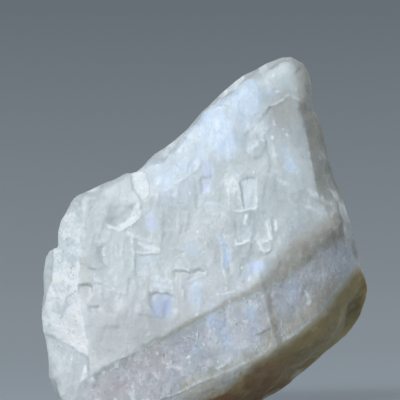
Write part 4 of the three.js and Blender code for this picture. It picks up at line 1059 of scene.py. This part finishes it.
# ------------------------------------------------------------------------------------------------------------- material
def make_material():
    mat = bpy.data.materials.new("moonstone_feldspar")
    mat.use_nodes = True
    nt = mat.node_tree
    nt.nodes.clear()
    out = nt.nodes.new("ShaderNodeOutputMaterial")
    bsdf = nt.nodes.new("ShaderNodeBsdfPrincipled")
    nt.links.new(bsdf.outputs[0], out.inputs["Surface"])

    def node(kind, **kw):
        nd = nt.nodes.new(kind)
        for k, v in kw.items():
            setattr(nd, k, v)
        return nd

    def attr(name):
        nd = node("ShaderNodeAttribute")
        nd.attribute_name = name
        return nd.outputs["Fac"]

    def link(a, b):
        nt.links.new(a, b)

    def math_(op, a, b=None, clamp=False):
        nd = node("ShaderNodeMath", operation=op, use_clamp=clamp)
        for i, s in enumerate((a, b)):
            if s is None:
                continue
            if isinstance(s, (int, float)):
                nd.inputs[i].default_value = s
            else:
                link(s, nd.inputs[i])
        return nd.outputs[0]

    def mix(fac, a, b, blend="MIX"):
        nd = node("ShaderNodeMix", data_type="RGBA", blend_type=blend)
        for s, i in ((fac, 0), (a, 6), (b, 7)):
            if isinstance(s, (int, float)):
                nd.inputs[i].default_value = s
            elif isinstance(s, tuple):
                nd.inputs[i].default_value = (*s, 1.0)
            else:
                link(s, nd.inputs[i])
        return nd.outputs[2]

    def ramp(x, lo, hi, a=0.0, b=1.0):
        nd = node("ShaderNodeMapRange", interpolation_type="SMOOTHSTEP")
        link(x, nd.inputs[0])
        for i, v in enumerate((lo, hi, a, b)):
            nd.inputs[i + 1].default_value = v
        return nd.outputs[0]

    tc = node("ShaderNodeTexCoord")
    mp = node("ShaderNodeMapping")
    link(tc.outputs["Object"], mp.inputs["Vector"])
    mp.inputs["Rotation"].default_value = (0.0, math.radians(-7), 0.0)

    def tex_noise(scale, detail=4.0, rough=0.55, vec=None, dist=0.0):
        nd = node("ShaderNodeTexNoise")
        nd.inputs["Scale"].default_value = scale
        nd.inputs["Detail"].default_value = detail
        nd.inputs["Roughness"].default_value = rough
        nd.inputs["Distortion"].default_value = dist
        link(vec or mp.outputs[0], nd.inputs["Vector"])
        return nd.outputs["Fac"]

    def stretch(sx, sy, sz):
        m2 = node("ShaderNodeMapping")
        link(mp.outputs[0], m2.inputs["Vector"])
        m2.inputs["Scale"].default_value = (sx, sy, sz)
        return m2.outputs[0]

    def scaled(value, col):
        nd = node("ShaderNodeVectorMath", operation="SCALE")
        link(col, nd.inputs[0])
        link(value, nd.inputs["Scale"])
        return nd.outputs[0]

    def voronoi(scale, vec, feature="F1", metric="CHEBYCHEV", rnd=1.0):
        nd = node("ShaderNodeTexVoronoi", feature=feature)
        if feature != "DISTANCE_TO_EDGE":
            nd.distance = metric
        nd.inputs["Scale"].default_value = scale
        nd.inputs["Randomness"].default_value = rnd
        link(vec, nd.inputs["Vector"])
        return nd

    def bent(vec, scale, amount):
        nz = node("ShaderNodeTexNoise")
        nz.inputs["Scale"].default_value = scale
        nz.inputs["Detail"].default_value = 2.0
        link(mp.outputs[0], nz.inputs["Vector"])
        sub = node("ShaderNodeVectorMath", operation="SUBTRACT")
        link(nz.outputs["Color"], sub.inputs[0])
        sub.inputs[1].default_value = (0.5, 0.5, 0.5)
        sc = node("ShaderNodeVectorMath", operation="SCALE")
        link(sub.outputs[0], sc.inputs[0])
        sc.inputs["Scale"].default_value = amount
        add = node("ShaderNodeVectorMath", operation="ADD")
        link(vec, add.inputs[0])
        link(sc.outputs[0], add.inputs[1])
        return add.outputs[0]

    cloud = tex_noise(130.0, 4.0, 0.6)
    mid = tex_noise(430.0, 4.0, 0.62, vec=stretch(1.0, 1.0, 0.42))
    fine = tex_noise(1900.0, 3.0, 0.65, vec=stretch(1.0, 1.0, 0.7))
    streak = tex_noise(900.0, 3.0, 0.6, vec=stretch(1.0, 1.0, 0.16))
    row = tex_noise(800.0, 3.0, 0.6, vec=stretch(0.18, 0.6, 1.0))
    plates = voronoi(430.0, bent(stretch(1.0, 0.8, 0.55), 700.0, 0.0012))
    plates2 = voronoi(1000.0, bent(stretch(1.0, 0.8, 0.6), 1500.0, 0.0005))
    edges = voronoi(360.0, bent(stretch(1.0, 0.5, 0.45), 600.0, 0.0016), feature="DISTANCE_TO_EDGE")
    specks = voronoi(1500.0, mp.outputs[0], metric="EUCLIDEAN")
    sep1 = node("ShaderNodeSeparateColor")
    link(plates.outputs["Color"], sep1.inputs[0])
    sep2 = node("ShaderNodeSeparateColor")
    link(plates2.outputs["Color"], sep2.inputs[0])
    sep3 = node("ShaderNodeSeparateColor")
    link(specks.outputs["Color"], sep3.inputs[0])

    frost_and_highlight_, dark_, sheen_, violet_, warm_shade_glow_, rind_shade_, facet_shade_ = (attr(x) for x in ("frost_and_highlight", "dark", "sheen", "violet", "warm_shade_glow", "rind_shade", "facet_shade"))
    neutral_, tone_ = attr("neutral"), attr("tone")
    calm_ = math_("SUBTRACT", 1.0, math_("MULTIPLY", facet_shade_, 0.6, clamp=True), clamp=True)
    # milky body: clearer and cloudier parts, in plates along the two cleavage directions
    body = mix(ramp(cloud, 0.36, 0.66), (0.525, 0.59, 0.615), (0.585, 0.65, 0.675))
    body = mix(ramp(mid, 0.44, 0.72, 0.0, 0.30), body, (0.67, 0.735, 0.765))
    busy_ = attr("busy")

    def centred(x, gain):
        return math_("MULTIPLY", math_("SUBTRACT", x, 0.5), gain)
    mott = math_("ADD", centred(sep1.outputs[0], 0.10), centred(sep2.outputs[0], 0.085))
    mott = math_("ADD", mott, centred(fine, 0.07))
    mott = math_("ADD", mott, centred(streak, 0.07))
    mott = math_("ADD", mott, centred(row, 0.06))
    glint = voronoi(2300.0, bent(stretch(1.0, 1.0, 0.8), 1500.0, 0.0004))
    sep4 = node("ShaderNodeSeparateColor")
    link(glint.outputs["Color"], sep4.inputs[0])
    mott = math_("ADD", mott, ramp(sep4.outputs[0], 0.78, 0.98, 0.0, 0.10))
    mott = math_("SUBTRACT", mott, ramp(sep4.outputs[1], 0.84, 1.0, 0.0, 0.07))
    mott = math_("ADD", math_("MULTIPLY", mott, busy_), 1.0)
    body = mix(ramp(neutral_, 0.0, 1.0), body, mix(1.0, body, (1.07, 0.99, 0.965), blend="MULTIPLY"))
    body = mix(ramp(attr("lilac"), 0.0, 1.0), body, mix(1.0, body, (1.075, 0.99, 1.03), blend="MULTIPLY"))
    # painted shade on the right facet: grey-green
    body = mix(ramp(facet_shade_, 0.0, 1.0, 0.0, 0.85), body, (0.50, 0.52, 0.49))
    # light from inside: blue, and violet in places
    blue = mix(ramp(violet_, 0.0, 0.6), (0.61, 0.77, 0.97), (0.60, 0.69, 0.95))
    sheen_f = math_("MULTIPLY", ramp(sheen_, 0.0, 1.1, 0.0, 0.92), ramp(mid, 0.30, 0.62, 0.72, 1.05), clamp=True)
    body = mix(sheen_f, body, blue)
    # painted warm shade and see-through glow: greenish yellow
    body = mix(ramp(warm_shade_glow_, 0.0, 1.0, 0.0, 0.75), body, (0.545, 0.515, 0.435))
    # fine mottling, with painted glints
    body = scaled(mott, body)
    # broken white, fine veins and grains, with painted glint flecks
    crackmask = ramp(tex_noise(260.0, 3.0, 0.6), 0.53, 0.60)
    crack = math_("MULTIPLY", ramp(edges.outputs["Distance"], 0.012, 0.030, 1.0, 0.0), crackmask)
    off = node("ShaderNodeVectorMath", operation="ADD")
    link(bent(stretch(1.0, 0.5, 0.45), 600.0, 0.0016), off.inputs[0])
    off.inputs[1].default_value = (0.00016, 0.0, -0.00012)
    edges2 = voronoi(360.0, off.outputs[0], feature="DISTANCE_TO_EDGE")
    vein = math_("MULTIPLY", ramp(edges2.outputs["Distance"], 0.020, 0.045, 1.0, 0.0), crackmask)
    vein = math_("MULTIPLY", vein, calm_)
    clump = ramp(tex_noise(240.0, 3.0, 0.65), 0.47, 0.56)
    chipv = voronoi(1250.0, bent(stretch(1.0, 1.0, 0.85), 1700.0, 0.0006))
    sep5 = node("ShaderNodeSeparateColor")
    link(chipv.outputs["Color"], sep5.inputs[0])
    chip = math_("MULTIPLY", ramp(math_("ADD", sep5.outputs[0], ramp(busy_, 0.5, 1.5, 0.0, 0.15)), 0.965, 0.985),
                 ramp(chipv.outputs["Distance"], 0.26, 0.36, 1.0, 0.0))
    chip = math_("MULTIPLY", math_("MULTIPLY", chip, clump), ramp(math_("ADD", rind_shade_, warm_shade_glow_), 0.10, 0.5, 1.0, 0.15))
    pitv = voronoi(1500.0, bent(stretch(1.0, 1.0, 0.8), 1900.0, 0.0005))
    sep6 = node("ShaderNodeSeparateColor")
    link(pitv.outputs["Color"], sep6.inputs[0])
    pit = math_("MULTIPLY", ramp(math_("ADD", sep6.outputs[1], math_("MULTIPLY", busy_, 0.06)), 0.965, 0.985),
                ramp(pitv.outputs["Distance"], 0.20, 0.34, 1.0, 0.0))
    glint_fleck = math_("MULTIPLY", ramp(sep3.outputs[0], 0.90, 0.94), ramp(specks.outputs["Distance"], 0.10, 0.34, 1.0, 0.0))
    glint_fleck = math_("MULTIPLY", glint_fleck, ramp(tex_noise(210.0, 2.0, 0.6), 0.44, 0.60))
    fr = math_("MULTIPLY", frost_and_highlight_, math_("ADD", ramp(fine, 0.32, 0.60, 0.60, 0.90), math_("MULTIPLY", sep4.outputs[2], 0.36)))
    fr = math_("ADD", fr, math_("MULTIPLY", vein, math_("MULTIPLY", busy_, 0.40)))
    fr = math_("ADD", fr, math_("MULTIPLY", chip, 0.75))
    fr = math_("ADD", fr, math_("MULTIPLY", math_("MULTIPLY", glint_fleck, busy_), 0.65))
    body = mix(math_("MULTIPLY", fr, 0.9, clamp=True), body, (0.86, 0.93, 0.985))
    body = scaled(tone_, body)
    body = mix(math_("MULTIPLY", math_("MULTIPLY", crack, calm_), math_("MULTIPLY", busy_, 0.34), clamp=True), body, (0.36, 0.38, 0.37))
    body = mix(math_("MULTIPLY", pit, ramp(busy_, 0.6, 1.6, 0.05, 0.40), clamp=True), body, (0.33, 0.335, 0.33))
    # small shadows
    body = mix(math_("MULTIPLY", dark_, 0.75, clamp=True), body, (0.36, 0.37, 0.34))
    # olive-brown skin with painted shade
    skin_shade = mix(ramp(tex_noise(150.0, 2.5, 0.5), 0.36, 0.66), (0.305, 0.230, 0.095), (0.425, 0.342, 0.148))
    skin_shade = mix(ramp(tex_noise(330.0, 3.0, 0.6), 0.56, 0.70, 0.0, 0.5), skin_shade, (0.56, 0.505, 0.35))
    # painted shade: darker deepest under the stone
    skin_shade = mix(ramp(rind_shade_, 0.68, 1.0), skin_shade, mix(1.0, skin_shade, (0.74, 0.69, 0.56), blend="MULTIPLY"))
    skin_shade = mix(ramp(tex_noise(600.0, 2.0, 0.5), 0.62, 0.76, 0.0, 0.4), skin_shade, (0.15, 0.105, 0.05))
    osep = node("ShaderNodeSeparateXYZ")
    link(tc.outputs["Object"], osep.inputs[0])
    # reddish towards the bottom left
    red_f = math_("MULTIPLY", ramp(osep.outputs[0], 0.023, 0.010), ramp(osep.outputs[2], 0.015, 0.006), clamp=True)
    skin_shade = mix(math_("MULTIPLY", red_f, ramp(tex_noise(240.0, 3.0, 0.6), 0.35, 0.60, 0.3, 1.0)), skin_shade, (0.26, 0.135, 0.06))
    skin_shade = scaled(tone_, skin_shade)
    # a cream band where the underside begins, partly painted see-through glow
    rim_glow_skin_shade = mix(ramp(rind_shade_, 0.02, 0.38), (0.58, 0.55, 0.42), skin_shade)
    body = mix(ramp(rind_shade_, 0.0, 0.12), body, rim_glow_skin_shade)
    link(body, bsdf.inputs["Base Color"])

    rough = math_("ADD", ramp(cloud, 0.3, 0.7, 0.32, 0.44), math_("MULTIPLY", frost_and_highlight_, 0.16))
    rough = math_("SUBTRACT", rough, ramp(sep2.outputs[2], 0.6, 0.9, 0.0, 0.12))
    rough = math_("ADD", rough, math_("MULTIPLY", rind_shade_, 0.12), clamp=True)
    link(rough, bsdf.inputs["Roughness"])
    bsdf.inputs["IOR"].default_value = 1.53
    bsdf.inputs["Subsurface Weight"].default_value = 0.65
    bsdf.inputs["Subsurface Radius"].default_value = (1.0, 0.95, 0.85)
    bsdf.inputs["Subsurface Scale"].default_value = 0.0014
    bsdf.inputs["Coat Weight"].default_value = 0.12
    bsdf.inputs["Coat Roughness"].default_value = 0.22

    hgt = math_("ADD", math_("MULTIPLY", fine, 0.45), math_("MULTIPLY", streak, 0.5))
    hgt = math_("ADD", hgt, math_("MULTIPLY", row, 0.4))
    hgt = math_("ADD", hgt, math_("MULTIPLY", sep2.outputs[0], 0.25))
    hgt = math_("ADD", hgt, math_("MULTIPLY", sep1.outputs[0], 0.25))
    hgt = math_("ADD", hgt, math_("MULTIPLY", math_("SUBTRACT", chip, math_("ADD", crack, pit)), 0.5))
    hgt = math_("ADD", hgt, math_("MULTIPLY", specks.outputs["Distance"], math_("MULTIPLY", frost_and_highlight_, 0.9)))
    bump = node("ShaderNodeBump")
    bump.inputs["Strength"].default_value = 0.3
    bump.inputs["Distance"].default_value = 0.00020
    link(hgt, bump.inputs["Height"])
    link(bump.outputs[0], bsdf.inputs["Normal"])
    return mat


me.materials.clear()
me.materials.append(make_material())
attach(stone, "root")
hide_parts("moonstone")


# ---------------------------------------------------------------------------------------------- floor, backdrop, light, camera
def plain(name, col, rough=0.9):
    m = bpy.data.materials.new(name)
    m.use_nodes = True
    b = m.node_tree.nodes["Principled BSDF"]
    b.inputs["Base Color"].default_value = (*col, 1)
    b.inputs["Roughness"].default_value = rough
    b.inputs["Specular IOR Level"].default_value = 0.1
    return m


def emissive(name, near, mid_, far, r0, r1, z1, glow):
    """A grey that gives its own light, by distance from the middle and then by height; near the stone it is also lit and shaded."""
    m = plain(name, near)
    nt = m.node_tree
    b = nt.nodes["Principled BSDF"]
    tc = nt.nodes.new("ShaderNodeTexCoord")
    sep = nt.nodes.new("ShaderNodeSeparateXYZ")
    nt.links.new(tc.outputs["Object"], sep.inputs[0])
    flat = nt.nodes.new("ShaderNodeCombineXYZ")
    nt.links.new(sep.outputs[0], flat.inputs[0])
    nt.links.new(sep.outputs[1], flat.inputs[1])
    ln = nt.nodes.new("ShaderNodeVectorMath")
    ln.operation = "LENGTH"
    nt.links.new(flat.outputs[0], ln.inputs[0])

    def rng_(src, a, b_, c=0.0, d=1.0):
        mr = nt.nodes.new("ShaderNodeMapRange")
        nt.links.new(src, mr.inputs[0])
        for k, v in enumerate((a, b_, c, d)):
            mr.inputs[k + 1].default_value = v
        return mr.outputs[0]

    def mixc(f, a, b_):
        mx = nt.nodes.new("ShaderNodeMix")
        mx.data_type = "RGBA"
        nt.links.new(f, mx.inputs[0])
        for k, v in ((6, a), (7, b_)):
            if isinstance(v, tuple):
                mx.inputs[k].default_value = (*v, 1)
            else:
                nt.links.new(v, mx.inputs[k])
        return mx.outputs[2]
    col = mixc(rng_(ln.outputs["Value"], 0.0, 1.35), near, mid_)
    col = mixc(rng_(sep.outputs[2], 0.0, z1), col, far)
    em = nt.nodes.new("ShaderNodeEmission")
    nt.links.new(col, em.inputs[0])
    sh = nt.nodes.new("ShaderNodeMixShader")
    nt.links.new(rng_(ln.outputs["Value"], r0, r1, glow, 1.0), sh.inputs[0])
    nt.links.new(b.outputs[0], sh.inputs[1])
    nt.links.new(em.outputs[0], sh.inputs[2])
    nt.links.new(sh.outputs[0], nt.nodes["Material Output"].inputs["Surface"])
    return m


def turned(name, profile, n=96):
    """A surface turned round the vertical axis; profile is (radius, height)."""
    vv, ff = [], []
    for r, z in profile:
        vv += [(r * math.cos(2 * math.pi * k / n), r * math.sin(2 * math.pi * k / n), z) for k in range(n)]
    for i in range(len(profile) - 1):
        for k in range(n):
            a, b = i * n + k, i * n + (k + 1) % n
            ff.append((a, b, b + n, a + n))
    if profile[0][0] < 0.02:
        ff.append(tuple(range(n - 1, -1, -1)))
    m = bpy.data.meshes.new(name)
    m.from_pydata(vv, [], ff)
    m.shade_smooth()
    ob = bpy.data.objects.new(name, m)
    bpy.context.scene.collection.objects.link(ob)
    return ob


# a round studio, so that the stone can be looked at from every side: a floor, and a bowl of a wall far away
NEAR, MID_, FAR_ = (0.240, 0.278, 0.312), (0.216, 0.246, 0.275), (0.133, 0.159, 0.178)
floor = turned("studio_floor", [(0.01, 0.0), (0.10, 0.0), (0.20, 0.0), (0.36, 0.0)])
arc_ = [(1.35 + 0.4 * math.sin(math.radians(a)), 0.4 - 0.4 * math.cos(math.radians(a))) for a in range(0, 91, 3)]
bowl_ = turned("studio_wall", [(0.36, 0.0), (0.8, 0.0)] + arc_ + [(1.75, 1.2), (1.75, 2.2)])
grey = emissive("studio_grey", NEAR, MID_, FAR_, 0.05, 0.33, 0.150, 0.35)
grey.node_tree.nodes["Principled BSDF"].inputs["Base Color"].default_value = (0.36, 0.415, 0.465, 1)
floor.data.materials.append(grey)
bowl_.data.materials.append(grey)
bowl_.visible_diffuse = False


def area(name, loc, target, size, power, col=(1, 1, 1)):
    ld = bpy.data.lights.new(name, "AREA")
    ld.shape = "RECTANGLE"
    ld.size, ld.size_y = size
    ld.energy = power
    ld.color = col
    ob = bpy.data.objects.new(name, ld)
    ob.location = loc
    d = np.array(target) - np.array(loc)
    from mathutils import Vector
    ob.rotation_euler = Vector(d).to_track_quat("-Z", "Y").to_euler()
    ob.visible_camera = False
    bpy.context.scene.collection.objects.link(ob)
    return ob


area("key", (-0.38, -0.62, 0.46), (0, 0, 0.035), (0.5, 0.5), 5.3, (0.965, 0.985, 1.0))
area("fill", (0.55, -0.55, 0.05), (0, 0, 0.035), (0.6, 0.5), 1.0, (1.0, 0.97, 0.93))
area("top", (-0.05, 0.05, 0.65), (0, 0, 0.03), (0.6, 0.6), 0.7, (0.97, 0.99, 1.0))
area("back_left", (-0.72, 0.55, 0.06), (0, 0, 0.035), (0.40, 0.30), 1.3, (1.0, 1.0, 1.0)).visible_glossy = False
area("back", (0.53, 0.72, 0.36), (0, 0, 0.035), (0.34, 0.26), 4.0, (1.0, 1.0, 1.0)).visible_glossy = False

world = bpy.data.worlds.new("studio")
world.use_nodes = True
world.node_tree.nodes["Background"].inputs[0].default_value = (0.92, 0.96, 1.0, 1)
world.node_tree.nodes["Background"].inputs[1].default_value = 0.10
bpy.context.scene.world = world
bpy.context.scene.view_settings.view_transform = "Standard"
bpy.context.scene.view_settings.look = "None"

cam_d = bpy.data.cameras.new("camera")
cam = bpy.data.objects.new("camera", cam_d)
bpy.context.scene.collection.objects.link(cam)
# looks along +Y, level; the frame is 80 mm across at the stone
DIST = 0.9
cx = (200 - 205) * 0.2 - SHIFT[0]
cz = (414 - 200) * 0.2 - FOOT_Z
cam.location = (cx * 0.001, -DIST, cz * 0.001)
cam.rotation_euler = (math.radians(90), 0, 0)
cam_d.sensor_width = 36
cam_d.lens = 36 * DIST / 0.080
cam_d.clip_start = 0.01
cam_d.clip_end = 20
bpy.context.scene.camera = cam

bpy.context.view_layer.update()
print("script", round(time.time() - T0, 1), "s")
